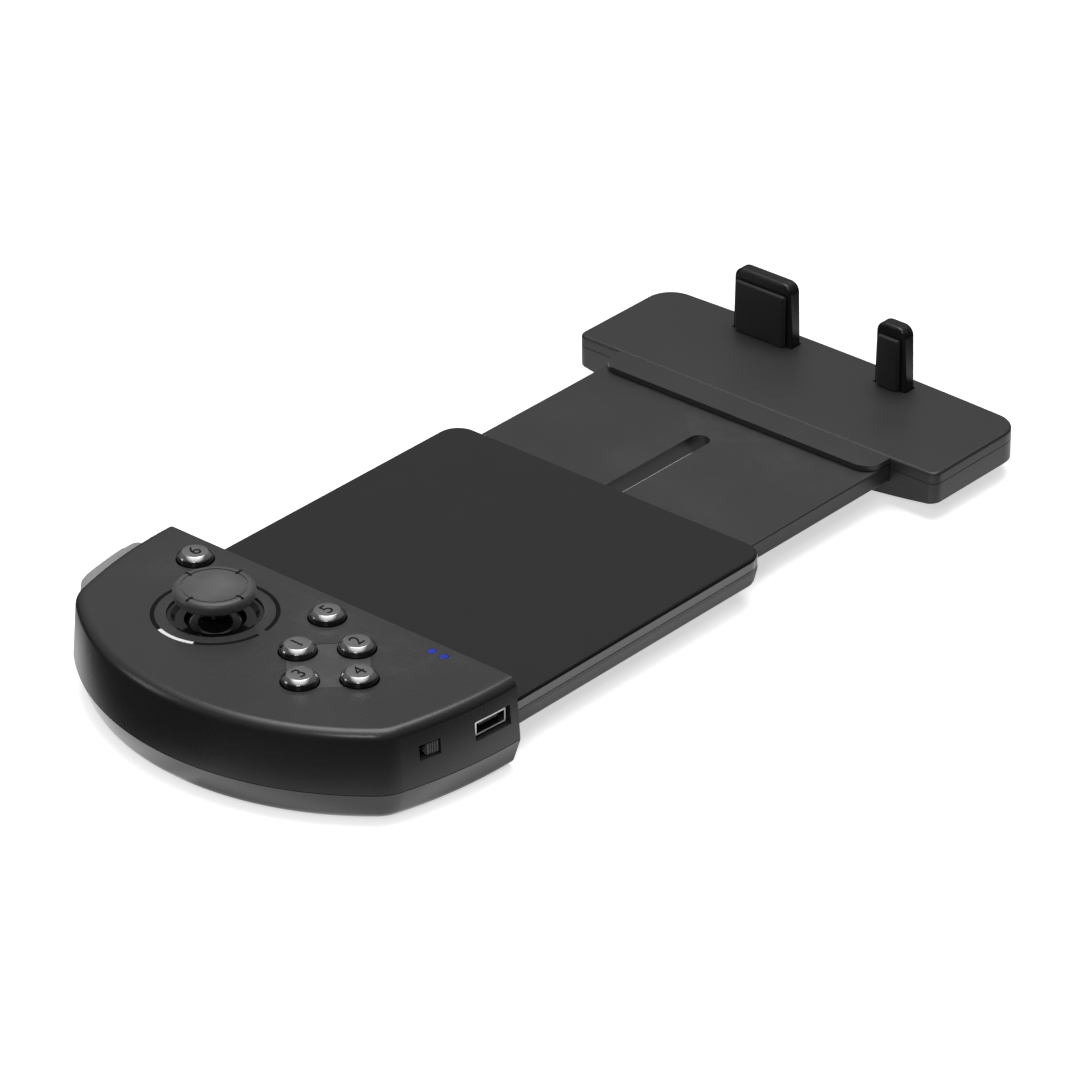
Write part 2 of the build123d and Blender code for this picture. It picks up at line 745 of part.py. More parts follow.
export_step(stick_stem.part, "parts/stick_stem.step")


# Soft cap with a shallow dish, a ring groove and four tick marks

with BuildPart() as stick_cap:
    with Locations((stick_x, stick_y, cap_rim_low)):
        Cylinder(cap_radius, cap_top - cap_rim_low, align=(Align.CENTER, Align.CENTER, Align.MIN))
    fillet(stick_cap.edges().filter_by(GeomType.CIRCLE), radius=cap_rim_radius)
    with Locations((stick_x, stick_y, cap_low)):
        Cone(cap_neck_radius, cap_radius - cap_rim_radius, cap_rim_low - cap_low,
             align=(Align.CENTER, Align.CENTER, Align.MIN))
        Cylinder(stem_radius, cap_socket_depth, align=(Align.CENTER, Align.CENTER, Align.MIN),
                 mode=Mode.SUBTRACT)
    with Locations((stick_x, stick_y, cap_top + dish_radius - dish_depth)):
        Sphere(dish_radius, mode=Mode.SUBTRACT)
    with BuildSketch(Plane((stick_x, stick_y, cap_top))):
        Circle(cap_groove_radius)
        Circle(cap_groove_radius - cap_groove_width, mode=Mode.SUBTRACT)
        with PolarLocations(cap_groove_radius, tick_count):
            Rectangle(cap_tick_length, cap_tick_width)
    extrude(amount=-cap_groove_depth, mode=Mode.SUBTRACT)
stick_cap.part.label = "stick_cap"
export_step(stick_cap.part, "parts/stick_cap.step")


# Six buttons, each a plated cap on a flanged plunger, lifted by an elastic dome

def button_cap(x, y):
    """Plated cap with a bevelled top and a peg underneath."""
    with BuildPart() as cap:
        with Locations((x, y, body_height + plunger_rise)):
            Cylinder(button_cap_radius, cap_rise - plunger_rise, align=(Align.CENTER, Align.CENTER, Align.MIN))
        chamfer(cap.edges().sort_by(Axis.Z)[-1], length=cap_bevel_height, length2=cap_bevel_width)
        with Locations((x, y, body_height + plunger_rise)):
            Cylinder(cap_peg_radius, cap_peg_depth, align=(Align.CENTER, Align.CENTER, Align.MAX))
    return cap.part


def button_plunger(x, y):
    """Plunger with the flange that stops it under the face and a socket for the cap's peg."""
    with BuildPart() as plunger:
        with Locations((x, y, face_under - flange_drop)):
            Cylinder(flange_radius, flange_thickness, align=(Align.CENTER, Align.CENTER, Align.MAX))
            Cylinder(button_radius, body_height + plunger_rise - face_under + flange_drop,
                     align=(Align.CENTER, Align.CENTER, Align.MIN))
        with Locations((x, y, body_height + plunger_rise)):
            Cylinder(cap_peg_radius, cap_peg_depth, align=(Align.CENTER, Align.CENTER, Align.MAX),
                     mode=Mode.SUBTRACT)
    return plunger.part


def button_dome(x, y):
    """Elastic dome: a hollow cone with a thick crown that the plunger stands on."""
    with BuildPart() as dome:
        with Locations((x, y, sheet_top)):
            Cone(dome_foot_radius, dome_crown_radius, plunger_low - sheet_top,
                 align=(Align.CENTER, Align.CENTER, Align.MIN))
            Cone(dome_foot_radius - dome_skin, dome_crown_radius - dome_skin,
                 plunger_low - sheet_top - dome_crown_thickness, align=(Align.CENTER, Align.CENTER, Align.MIN),
                 mode=Mode.SUBTRACT)
    return dome.part


for number, (x, y) in enumerate(button_places, start=1):
    pieces = (("cap", button_cap(x, y)), ("plunger", button_plunger(x, y)), ("dome", button_dome(x, y)))
    for name, piece in pieces:
        piece.label = "button_" + name + "_" + str(number)
        export_step(piece, "parts/" + piece.label + ".step")


# Elastic sheet under the domes, in two pieces

with BuildPart() as keypad_sheet:
    with BuildSketch(Plane.XY.offset(board_top)):
        with Locations((group_x, button_group_side)):
            RectangleRounded(2 * (button_pitch_radius + sheet_margin), 2 * (button_pitch_radius + sheet_margin),
                             sheet_corner_radius)
        with Locations(*button_places[-2:]):
            RectangleRounded(sheet_single, sheet_single, sheet_corner_radius)
    extrude(amount=sheet_thickness)
keypad_sheet.part.label = "keypad_sheet"
export_step(keypad_sheet.part, "parts/keypad_sheet.step")


# Circuit board, following the grip's outline, and the battery under it

with BuildPart() as main_board:
    extrude(grip_outline(board_low, -board_margin, -board_back_gap), amount=board_thickness)
    with BuildSketch(Plane.XY.offset(board_low)):
        with Locations((stick_x, stick_y)):
            Rectangle(board_hole, board_hole)
        with Locations(*body_screws_at):
            Circle(boss_radius + board_hole_gap)
        # open notches for the front screw posts and the shoulder pin's seat
        with Locations(*body_screws_at[:2]):
            Rectangle(overrun, 2 * (boss_radius + board_hole_gap), align=(Align.MIN, Align.CENTER))
        with Locations((shoulder_pin_x - board_notch, shoulder_pin_side - board_notch)):
            Rectangle(overrun, overrun, align=(Align.MIN, Align.MIN))
    extrude(amount=board_thickness, mode=Mode.SUBTRACT)
main_board.part.label = "main_board"
export_step(main_board.part, "parts/main_board.step")

with BuildPart() as battery:
    with Locations((end_face_x - battery_back, battery_side, shell_wall)):
        Box(battery_length, battery_width, battery_thickness, align=(Align.CENTER, Align.CENTER, Align.MIN))
    fillet(battery.edges().filter_by(Axis.Z), radius=battery_edge_radius)
battery.part.label = "battery"
export_step(battery.part, "parts/battery.step")


# Charging socket in the near side wall

with BuildPart() as usb_shell:
    with Locations(usb_at):
        with Locations((0, usb_recess, 0)):
            Box(usb_width, usb_depth, usb_thickness, align=(Align.CENTER, Align.MIN, Align.CENTER))
            Box(usb_width - 2 * usb_skin, usb_depth - usb_skin, usb_thickness - 2 * usb_skin,
                align=(Align.CENTER, Align.MIN, Align.CENTER), mode=Mode.SUBTRACT)
usb_shell.part.label = "usb_shell"
export_step(usb_shell.part, "parts/usb_shell.step")

with BuildPart() as usb_tongue:
    with Locations(usb_at):
        with Locations((0, usb_recess + usb_depth - usb_skin, usb_tongue_lift)):
            Box(usb_tongue_width, usb_tongue_depth, usb_tongue_thickness,
                align=(Align.CENTER, Align.MAX, Align.CENTER))
usb_tongue.part.label = "usb_tongue"
export_step(usb_tongue.part, "parts/usb_tongue.step")


# Slide switch in the near side wall

with BuildPart() as switch_body:
    with Locations(switch_at):
        with Locations((0, switch_inset, 0)):
            Box(switch_width, switch_body_depth, switch_body_height,
                align=(Align.CENTER, Align.MIN, Align.CENTER))
            Box(knob_width + 2 * (knob_start + fit_gap), switch_slot_depth, knob_height + 2 * fit_gap,
                align=(Align.CENTER, Align.MIN, Align.CENTER), mode=Mode.SUBTRACT)
switch_body.part.label = "switch_body"
export_step(switch_body.part, "parts/switch_body.step")

with BuildPart() as switch_knob:
    with Locations(switch_at):
        with Locations((knob_start, switch_inset + switch_slot_depth - fit_gap, 0)):
            Box(knob_width, knob_depth, knob_height, align=(Align.CENTER, Align.MAX, Align.CENTER))
        with Locations((knob_start, switch_inset + switch_slot_depth - fit_gap - knob_depth, 0)):
            with GridLocations(knob_rib_pitch, 0, knob_ribs, 1):
                Box(knob_rib_width, 2 * knob_rib_depth, knob_height, mode=Mode.SUBTRACT)
switch_knob.part.label = "switch_knob"
export_step(switch_knob.part, "parts/switch_knob.step")


# Two indicator lights: chips on the board, clear pipes up to the face

with BuildPart() as led_chips:
    with Locations(*[(x, y, board_top) for x, y in led_places]):
        Box(led_chip_size, led_chip_size, led_chip_height, align=(Align.CENTER, Align.CENTER, Align.MIN))
led_chips.part.label = "led_chips"
export_step(led_chips.part, "parts/led_chips.step")

with BuildPart() as led_pipes:
    with Locations(*[(x, y, board_top + led_chip_height + led_pipe_gap) for x, y in led_places]):
        Cylinder(led_radius, body_height - board_top - led_chip_height - led_pipe_gap,
                 align=(Align.CENTER, Align.CENTER, Align.MIN))
    with Locations(*[(x, y, face_under) for x, y in led_places]):
        Cylinder(led_flange_radius, led_flange_thickness, align=(Align.CENTER, Align.CENTER, Align.MAX))
led_pipes.part.label = "led_pipes"
export_step(led_pipes.part, "parts/led_pipes.step")


# Shoulder button: a band that follows the side wall, an arm to its pin and a nub for its switch

with BuildPart() as shoulder_button:
    extrude(grip_outline(shoulder_low, shoulder_stand, -shoulder_front), amount=shoulder_high - shoulder_low)
    extrude(grip_outline(shoulder_low, shoulder_stand - shoulder_depth), amount=shoulder_high - shoulder_low,
            mode=Mode.SUBTRACT)
    with Locations((shoulder_middle_x, 0, shoulder_low)):
        Box(shoulder_back - shoulder_front, 2 * body_half_width, body_height,
            align=(Align.CENTER, Align.MIN, Align.MIN), mode=Mode.INTERSECT)
    fillet(shoulder_button.edges().filter_by(Axis.Z).sort_by(Axis.X)[-2:].sort_by(Axis.Y)[-1],
           radius=shoulder_corner_radius)
    fillet(shoulder_button.faces().filter_by(Axis.Z).edges(), radius=shoulder_edge_radius)
    with BuildSketch(Plane((shoulder_pin_x, shoulder_pin_side, shoulder_arm_low))):
        Circle(shoulder_boss_radius)
        with BuildLine():
            Polyline((shoulder_boss_radius, 0), (-shoulder_arm_reach, shoulder_arm_rise),
                     (-shoulder_arm_reach - shoulder_arm_width, shoulder_arm_rise - shoulder_arm_slope),
                     (0, -shoulder_boss_radius), (shoulder_boss_radius, 0))
        make_face()
        Circle(shoulder_pin_radius + shoulder_pin_clear, mode=Mode.SUBTRACT)
    extrude(amount=shoulder_arm_high - shoulder_arm_low)
    with Locations(Location((end_face_x - shoulder_nub_back, shoulder_nub_side, shoulder_nub_height),
                            (-right_angle, 0, 0))):
        Cylinder(shoulder_nub_radius, side_wall(shoulder_nub_back) + shoulder_stand - shoulder_depth / 2
                 - shoulder_nub_side, align=(Align.CENTER, Align.CENTER, Align.MIN))
shoulder_button.part.label = "shoulder_button"
export_step(shoulder_button.part, "parts/shoulder_button.step")

with BuildPart() as shoulder_pin:
    with Locations((shoulder_pin_x, shoulder_pin_side, shoulder_pin_low)):
        Cylinder(shoulder_pin_radius, face_under - shoulder_pin_low,
                 align=(Align.CENTER, Align.CENTER, Align.MIN))
shoulder_pin.part.label = "shoulder_pin"
export_step(shoulder_pin.part, "parts/shoulder_pin.step")

with BuildPart() as shoulder_switch:
    with Locations((end_face_x - shoulder_nub_back,
                    shoulder_nub_side - shoulder_switch_gap - shoulder_switch_plunger, board_top)):
        Box(shoulder_switch_size, shoulder_switch_size, shoulder_switch_height,
            align=(Align.CENTER, Align.MAX, Align.MIN))
    with Locations(Location((end_face_x - shoulder_nub_back, shoulder_nub_side - shoulder_switch_gap,
                             shoulder_nub_height), (right_angle, 0, 0))):
        Cylinder(shoulder_nub_radius, 2 * shoulder_switch_plunger,
                 align=(Align.CENTER, Align.CENTER, Align.MIN))
shoulder_switch.part.label = "shoulder_switch"
export_step(shoulder_switch.part, "parts/shoulder_switch.step")


# Sleeve: a tray that leans in towards its underside, and a flat cover with rounded edges

def sleeve_outline(height, growth):
    """Plan outline of the sleeve, from behind the end face to its rounded far corners."""
    with BuildSketch(Plane((end_face_x, 0, height)), mode=Mode.PRIVATE) as outline:
        with Locations((sleeve_length, 0)):
            Rectangle(sleeve_length + overrun, 2 * sleeve_half_width, align=(Align.MAX, Align.CENTER))
        fillet(outline.vertices().sort_by(Axis.X)[-2:], radius=sleeve_corner_radius)
        if growth != 0:
            offset(amount=growth)
    return outline.sketch


with BuildPart() as sleeve_base:
    extrude(sleeve_outline(cover_low - seam_gap, 0), amount=sleeve_lip, dir=(0, 0, -1))
    extrude(sleeve_outline(cover_low - seam_gap - sleeve_lip, 0),
            amount=cover_low - seam_gap - sleeve_lip - sleeve_bottom, dir=(0, 0, -1), taper=sleeve_lean)
    fillet(sleeve_base.faces().sort_by(Axis.Z)[0].edges(), radius=sleeve_bottom_radius)
    with Locations((end_face_x - end_wall, 0, 0)):
        Box(2 * overrun, 4 * sleeve_half_width, 2 * body_height,
            align=(Align.MAX, Align.CENTER, Align.CENTER), mode=Mode.SUBTRACT)
    # channel for the slider, open at the far end
    with Locations((end_face_x, 0, sleeve_bottom + sleeve_floor)):
        Box(2 * sleeve_length, 2 * (slider_half_width + slider_gap), body_height,
            align=(Align.MIN, Align.CENTER, Align.MIN), mode=Mode.SUBTRACT)
    # root inside the grip, held between its screw bosses and posts
    with Locations((end_face_x - end_wall, 0, sleeve_bottom)):
        Box(sleeve_root - end_wall, 2 * root_half_width, sleeve_floor,
            align=(Align.MAX, Align.CENTER, Align.MIN))
    with BuildSketch(Plane.XY.offset(sleeve_bottom)):
        with Locations(*body_screws_at):
            Circle(screw_shank_radius + root_hole_gap)
    extrude(amount=sleeve_floor, mode=Mode.SUBTRACT)
    # stop that stands in the slider's slot
    with Locations((end_face_x + stop_place, 0, sleeve_bottom)):
        Cylinder(stop_radius, slider_high - sleeve_bottom, align=(Align.CENTER, Align.CENTER, Align.MIN))
    # screw recesses
    with BuildSketch(Plane.XY.offset(sleeve_bottom)):
        with Locations(*sleeve_screws_at):
            Circle(screw_head_radius + screw_gap)
    extrude(amount=screw_seat, mode=Mode.SUBTRACT)
    with BuildSketch(Plane.XY.offset(sleeve_bottom)):
        with Locations(*sleeve_screws_at):
            Circle(screw_shank_radius + screw_gap)
    extrude(amount=body_height, mode=Mode.SUBTRACT)
sleeve_base.part.label = "sleeve_base"
export_step(sleeve_base.part, "parts/sleeve_base.step")

with BuildPart() as sleeve_cover:
    extrude(sleeve_outline(cover_low, 0), amount=cover_thickness)
    fillet(sleeve_cover.faces().sort_by(Axis.Z)[-1].edges(), radius=sleeve_edge_radius)
    with Locations((end_face_x - end_wall, 0, 0)):
        Box(2 * overrun, 4 * sleeve_half_width, 2 * body_height,
            align=(Align.MAX, Align.CENTER, Align.CENTER), mode=Mode.SUBTRACT)
    with Locations((end_face_x, 0, cradle_height - cover_roof)):
        Box(2 * sleeve_length, 2 * (slider_half_width + slider_gap), body_height,
            align=(Align.MIN, Align.CENTER, Align.MAX), mode=Mode.SUBTRACT)
    # lowered edge that goes under the grip's end wall
    with Locations((end_face_x + fit_gap, 0, cradle_height - cover_step)):
        Box(2 * overrun, 4 * sleeve_half_width, body_height, align=(Align.MAX, Align.CENTER, Align.MIN),
            mode=Mode.SUBTRACT)
    with BuildSketch(Plane.XY.offset(cover_low)):
        with Locations(*sleeve_screws_at):
            Circle(screw_shank_radius)
    extrude(amount=sleeve_bottom + screw_seat + sleeve_screw_length - cover_low, mode=Mode.SUBTRACT)
sleeve_cover.part.label = "sleeve_cover"
export_step(sleeve_cover.part, "parts/sleeve_cover.step")


# Slider: a flat arm with a slot for the stop, pockets for two leaf springs and long troughs underneath

with BuildPart() as slider_arm:
    with BuildSketch(Plane((end_face_x + slider_inset, 0, slider_low))):
        Rectangle(slider_end_x - end_face_x - slider_inset, 2 * slider_half_width,
                  align=(Align.MIN, Align.CENTER))
    extrude(amount=slider_high - slider_low)
    fillet(slider_arm.edges().filter_by(Axis.Z).sort_by(Axis.X)[:2], radius=slider_corner_radius)
    fillet(slider_arm.edges().filter_by(Axis.X), radius=slider_edge_radius)
    with BuildSketch(Plane.XY.offset(slider_low)):
        with Locations((stop_x + (travel_in - travel_out) / 2, 0)):
            SlotCenterToCenter(travel_in + travel_out, 2 * (stop_radius + slot_gap))
    extrude(amount=slider_high - slider_low, mode=Mode.SUBTRACT)
    with BuildSketch(Plane.XY.offset(slider_low)):
        with Locations(*leaves_at):
            Rectangle(leaf_length + 2 * fit_gap, leaf_width + 2 * fit_gap)
    extrude(amount=leaf_pocket_depth, mode=Mode.SUBTRACT)
    with BuildSketch(Plane.XY.offset(slider_low)):
        with Locations(*[(end_face_x + slider_inset + trough_start + trough_length / 2, side)
                         for side in trough_sides]):
            SlotOverall(trough_length, trough_width)
    extrude(amount=trough_depth, mode=Mode.SUBTRACT)
slider_arm.part.label = "slider_arm"
export_step(slider_arm.part, "parts/slider_arm.step")

with BuildPart() as slide_leaf:
    for x, y in leaves_at:
        with BuildSketch(Plane(origin=(x, y + leaf_width / 2, leaf_low), x_dir=(1, 0, 0), z_dir=(0, -1, 0))):
            with BuildLine():
                ThreePointArc((-leaf_length / 2, leaf_rise), (0, 0), (leaf_length / 2, leaf_rise))
                Line((leaf_length / 2, leaf_rise), (leaf_length / 2, leaf_top - leaf_low))
                ThreePointArc((leaf_length / 2, leaf_top - leaf_low), (0, leaf_top - leaf_low - leaf_rise),
                              (-leaf_length / 2, leaf_top - leaf_low))
                Line((-leaf_length / 2, leaf_top - leaf_low), (-leaf_length / 2, leaf_rise))
            make_face()
        extrude(amount=leaf_width)
slide_leaf.part.label = "slide_leaf"
export_step(slide_leaf.part, "parts/slide_leaf.step")


# Tail: a boat-shaped shell under a flat plate that reaches back over the slider

with BuildPart() as tail_cavity:
    extrude(tail_outline(0, -tail_wall), amount=cover_low)
    extrude(hull_section(tail_inner_x, -tail_wall), amount=tail_depth, mode=Mode.INTERSECT)

with BuildPart() as tail_shell:
    extrude(tail_outline(0, 0), amount=cover_low - seam_gap)
    extrude(hull_section(tail_inner_x, 0), amount=tail_depth, mode=Mode.INTERSECT)
    add(tail_cavity.part, mode=Mode.SUBTRACT)
    # cross ribs that carry the slider's end and the hooks' feet
    with Locations(*[(x, 0, tail_wall / 2) for x in slider_ribs_at]):
        Box(rib_thickness, 2 * rib_half_width, slider_low - tail_wall / 2,
            align=(Align.CENTER, Align.CENTER, Align.MIN))
    with Locations(*[(hook_x + hook_thickness / 2, middle, tail_wall / 2) for middle, width in hooks]):
        Box(rib_thickness, hook_narrow_width, hook_foot_low - tail_wall / 2,
            align=(Align.CENTER, Align.CENTER, Align.MIN))
    # screw bosses
    with BuildSketch(Plane.XY.offset(tail_screw_recess)):
        with Locations(*tail_screws_at):
            Circle(boss_radius)
    extrude(amount=cover_low - seam_gap - tail_screw_recess)
    # opening for the slider in the inner wall, and the screw recesses
    with Locations((tail_inner_x, 0, slider_low - fit_gap)):
        Box(2 * tail_wall, 2 * (slider_half_width + fit_gap), body_height,
            align=(Align.CENTER, Align.CENTER, Align.MIN), mode=Mode.SUBTRACT)
    with BuildSketch(Plane.XY):
        with Locations(*tail_screws_at):
            Circle(screw_head_radius + screw_gap)
    extrude(amount=tail_screw_recess + screw_head_height, mode=Mode.SUBTRACT)
    with BuildSketch(Plane.XY):
        with Locations(*tail_screws_at):
            Circle(screw_shank_radius + screw_gap)
    extrude(amount=body_height, mode=Mode.SUBTRACT)
tail_shell.part.label = "tail_shell"
export_step(tail_shell.part, "parts/tail_shell.step")

with BuildPart() as tail_plate:
    extrude(tail_outline(cover_low, 0), amount=cover_thickness)
    fillet(tail_plate.faces().sort_by(Axis.Z)[-1].edges(), radius=tail_edge_radius)
    # tongue over the slider
    with BuildSketch(Plane((tail_inner_x - tongue_reach, 0, cradle_height - cover_roof))) as tongue:
        Rectangle(tongue_reach + tail_inner_radius, 2 * slider_half_width, align=(Align.MIN, Align.CENTER))
        fillet(tongue.vertices().sort_by(Axis.X)[:2], radius=tongue_corner_radius)
    extrude(amount=cover_roof - tongue_drop)
    # pocket for the slider's end
    with Locations((slider_end_x + fit_gap, 0, cradle_height - cover_roof)):
        Box(overrun, 2 * (slider_half_width + slider_gap), body_height,
            align=(Align.MAX, Align.CENTER, Align.MAX), mode=Mode.SUBTRACT)
    # slots for the hooks and pilot holes for the screws
    for middle, width in hooks:
        with Locations((hook_x + hook_thickness / 2, middle, cradle_height)):
            Box(hook_thickness + 2 * fit_gap, hook_root_width(width) + 2 * fit_gap, 2 * cover_thickness,
                mode=Mode.SUBTRACT)
    with BuildSketch(Plane.XY.offset(cover_low)):
        with Locations(*tail_screws_at):
            Circle(screw_shank_radius)
    extrude(amount=tail_screw_recess + screw_head_height + tail_screw_length - cover_low, mode=Mode.SUBTRACT)
tail_plate.part.label = "tail_plate"
export_step(tail_plate.part, "parts/tail_plate.step")


# Two hooks with soft pads

def hook(middle, width):
    """Upright blade, a little narrower at its top, with rounded corners and a foot under the plate."""
    with BuildPart() as blade:
        with BuildSketch(Plane.YZ.offset(hook_x)) as face:
            Polygon((middle - hook_root_width(width) / 2, hook_foot_low),
                    (middle + hook_root_width(width) / 2, hook_foot_low),
                    (middle + width / 2, hook_height), (middle - width / 2, hook_height), align=None)
            fillet(face.vertices().sort_by(Axis.Y)[-2:], radius=hook_corner_radius)
        extrude(amount=hook_thickness)
        fillet(blade.faces().sort_by(Axis.X)[0].edges() + blade.faces().sort_by(Axis.X)[-1].edges(),
               radius=hook_edge_radius)
        with Locations((hook_x + hook_thickness / 2, middle, hook_foot_low)):
            Box(hook_thickness + 2 * hook_foot_spread, hook_root_width(width) + 2 * hook_foot_spread,
                hook_foot_thickness, align=(Align.CENTER, Align.CENTER, Align.MIN))
    return blade.part


def hook_pad(middle, width):
    """Soft pad on the inner side of a hook's blade."""
    with BuildPart() as pad:
        with Locations((hook_x, middle, cradle_height + fit_gap)):
            Box(pad_thickness, width - 2 * pad_margin, pad_height - cradle_height - fit_gap,
                align=(Align.MAX, Align.CENTER, Align.MIN))
        fillet(pad.faces().sort_by(Axis.X)[0].edges(), radius=pad_edge_radius)
    return pad.part


for name, (middle, width) in zip(("wide", "narrow"), hooks):
    for piece, label in ((hook(middle, width), "hook_" + name), (hook_pad(middle, width), "pad_" + name)):
        piece.label = label
        export_step(piece, "parts/" + label + ".step")
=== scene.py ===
# %% [markdown]
# # Mobile game controller
# The object is a grip with a thumb stick and buttons, a flat sleeve, and a slider whose tail has two
# hooks. Its solids come packed from CAD. This lesson keeps every moving body of the frame, gives each
# solid a procedural material, and adds the soft and small pieces that the solids leave plain.
# Lengths on the object are written in millimetres and turned to metres by the factor mm. The width of
# the floor and the places of the lamps, which are far larger, are in metres.

# %% Load the frame
import bmesh
import bpy
import json
import math
from mathutils import Matrix, Vector


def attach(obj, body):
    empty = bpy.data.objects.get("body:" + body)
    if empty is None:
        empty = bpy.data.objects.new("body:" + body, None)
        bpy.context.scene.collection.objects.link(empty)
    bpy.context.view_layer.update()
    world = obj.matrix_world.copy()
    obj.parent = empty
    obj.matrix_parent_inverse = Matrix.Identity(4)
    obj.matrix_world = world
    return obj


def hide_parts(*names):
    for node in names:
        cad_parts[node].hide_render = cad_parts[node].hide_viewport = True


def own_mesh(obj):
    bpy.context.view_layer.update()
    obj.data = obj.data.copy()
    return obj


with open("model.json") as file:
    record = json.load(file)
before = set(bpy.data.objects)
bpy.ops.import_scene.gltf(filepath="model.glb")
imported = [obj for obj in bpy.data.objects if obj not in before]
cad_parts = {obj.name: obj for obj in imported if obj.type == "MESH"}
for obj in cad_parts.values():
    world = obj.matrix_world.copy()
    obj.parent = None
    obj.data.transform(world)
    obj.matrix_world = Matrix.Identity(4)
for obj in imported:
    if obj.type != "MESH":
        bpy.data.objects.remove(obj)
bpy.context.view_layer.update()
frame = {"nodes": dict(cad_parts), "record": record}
nodes = frame["nodes"]
mm = 0.001

# %% [markdown]
# ## Shader arithmetic
# A procedural material is a small formula over the surface. It could be drawn by hand as a web of
# nodes, but a formula is shorter to read. The first class below is such a web, with one way to add a
# node. The second lets a socket be used in sums and products. The third keeps what every material
# here starts from: object coordinates and one principled shader.

# %% A web of nodes
class Web:
    """A node tree, with one way to add a node: its type, its settings, then its sockets."""

    def __init__(self, tree):
        self.tree = tree

    def node(self, kind, inputs=None, **settings):
        """New node. An input is a value, a socket to link, or a field. The stops are a ramp's."""
        node = self.tree.nodes.new(kind)
        for key, value in settings.items():
            if key == "stops":
                self.set_stops(node.color_ramp.elements, value)
            else:
                setattr(node, key, value)
        for key, value in (inputs or {}).items():
            if isinstance(value, Field):
                value = value.socket
            if isinstance(value, bpy.types.NodeSocket):
                self.tree.links.new(value, node.inputs[key])
            else:
                node.inputs[key].default_value = value
        return node

    def set_stops(self, elements, stops):
        """Give a ramp its stops, each a position and a colour."""
        while len(elements) < len(stops):
            elements.new(0.5)
        for element, (position, colour) in zip(elements, stops):
            element.position = position
            element.color = (*colour, 1)


print("one way to add a node")

# %% Sockets that add and multiply
class Field:
    """A value that varies over the surface, with ordinary arithmetic."""

    def __init__(self, web, socket):
        self.web = web
        self.socket = socket

    def math(self, operation, other=0.0, reflected=False):
        """Math node on this value and another, which comes first when reflected."""
        first, second = (other, self) if reflected else (self, other)
        node = self.web.node("ShaderNodeMath", {0: first, 1: second}, operation=operation)
        return Field(self.web, node.outputs[0])

    def __add__(self, other):
        return self.math("ADD", other)

    def __radd__(self, other):
        return self.math("ADD", other)

    def __sub__(self, other):
        return self.math("SUBTRACT", other)

    def __rsub__(self, other):
        return self.math("SUBTRACT", other, reflected=True)

    def __mul__(self, other):
        return self.math("MULTIPLY", other)

    def __rmul__(self, other):
        return self.math("MULTIPLY", other)

    def __truediv__(self, other):
        return self.math("DIVIDE", other)

    def __rtruediv__(self, other):
        return self.math("DIVIDE", other, reflected=True)

    def __pow__(self, power):
        return self.math("POWER", power)

    def __abs__(self):
        return self.math("ABSOLUTE")

    def __gt__(self, other):
        return self.math("GREATER_THAN", other)

    def __lt__(self, other):
        return self.math("LESS_THAN", other)

    def smaller(self, other):
        return self.math("MINIMUM", other)

    def larger(self, other):
        return self.math("MAXIMUM", other)

    def root(self):
        return self.math("SQRT")

    def clamp(self):
        return self.larger(0.0).smaller(1.0)


print("sockets add and multiply")

# %% A material under construction
class Surface(Web):
    """A material under construction: object coordinates in millimetres and one principled shader."""

    level_pointiness = 0.52
    edge_contrast = 9.0

    def __init__(self, name, **values):
        self.material = bpy.data.materials.new(name)
        self.material.use_nodes = True
        super().__init__(self.material.node_tree)
        self.shader = self.tree.nodes["Principled BSDF"]
        for key, value in values.items():
            label = key.replace("_", " ").title().replace("Ior", "IOR")
            self.shader.inputs[label].default_value = value
        place = self.node("ShaderNodeTexCoord").outputs["Object"]
        scaled = self.node("ShaderNodeVectorMath", {"Vector": place, "Scale": 1 / mm}, operation="SCALE")
        self.place = scaled.outputs[0]

    def noise(self, width, detail=3.0, rough=0.5, stretch=(1, 1, 1)):
        """Soft noise between 0 and 1 whose features are about that many millimetres wide."""
        stretched = self.node("ShaderNodeVectorMath", {0: self.place, 1: stretch}, operation="MULTIPLY")
        node = self.node("ShaderNodeTexNoise", {"Vector": stretched.outputs[0], "Scale": 1 / width,
                                                "Detail": detail, "Roughness": rough})
        return Field(self, node.outputs[0])

    def axis(self, letter):
        """Place along one axis, in millimetres."""
        node = self.node("ShaderNodeSeparateXYZ", {"Vector": self.place})
        return Field(self, node.outputs["XYZ".index(letter)])

    def edge(self):
        """Light line where the surface turns sharply outwards, as handling wears it."""
        pointiness = Field(self, self.node("ShaderNodeNewGeometry").outputs["Pointiness"])
        return ((pointiness - self.level_pointiness) * self.edge_contrast).clamp()

    def ramp(self, field, *stops):
        """Colour that runs through the stops, each a position and a colour."""
        return self.node("ShaderNodeValToRGB", {"Fac": field}, stops=stops).outputs["Color"]

    def drive(self, name, field):
        """Let a field or a colour decide one input of the shader."""
        socket = field.socket if isinstance(field, Field) else field
        self.tree.links.new(socket, self.shader.inputs[name])

    def bump(self, field, depth, strength=1.0):
        """Relief of that many millimetres."""
        node = self.node("ShaderNodeBump", {"Height": field, "Distance": depth * mm, "Strength": strength})
        self.tree.links.new(node.outputs[0], self.shader.inputs["Normal"])


def grey(value):
    """Neutral colour of that tone."""
    return (value, value, value)


print("materials can be built")

# %% [markdown]
# ## Moulded plastics
# Moulded plastic shows a fine spark-eroded grain, slow changes of gloss where the mould filled, and
# edges a little lighter than the flats. One function makes the whole family of greys, so that the
# parts differ only as the real ones do: in tone, gloss and grain.

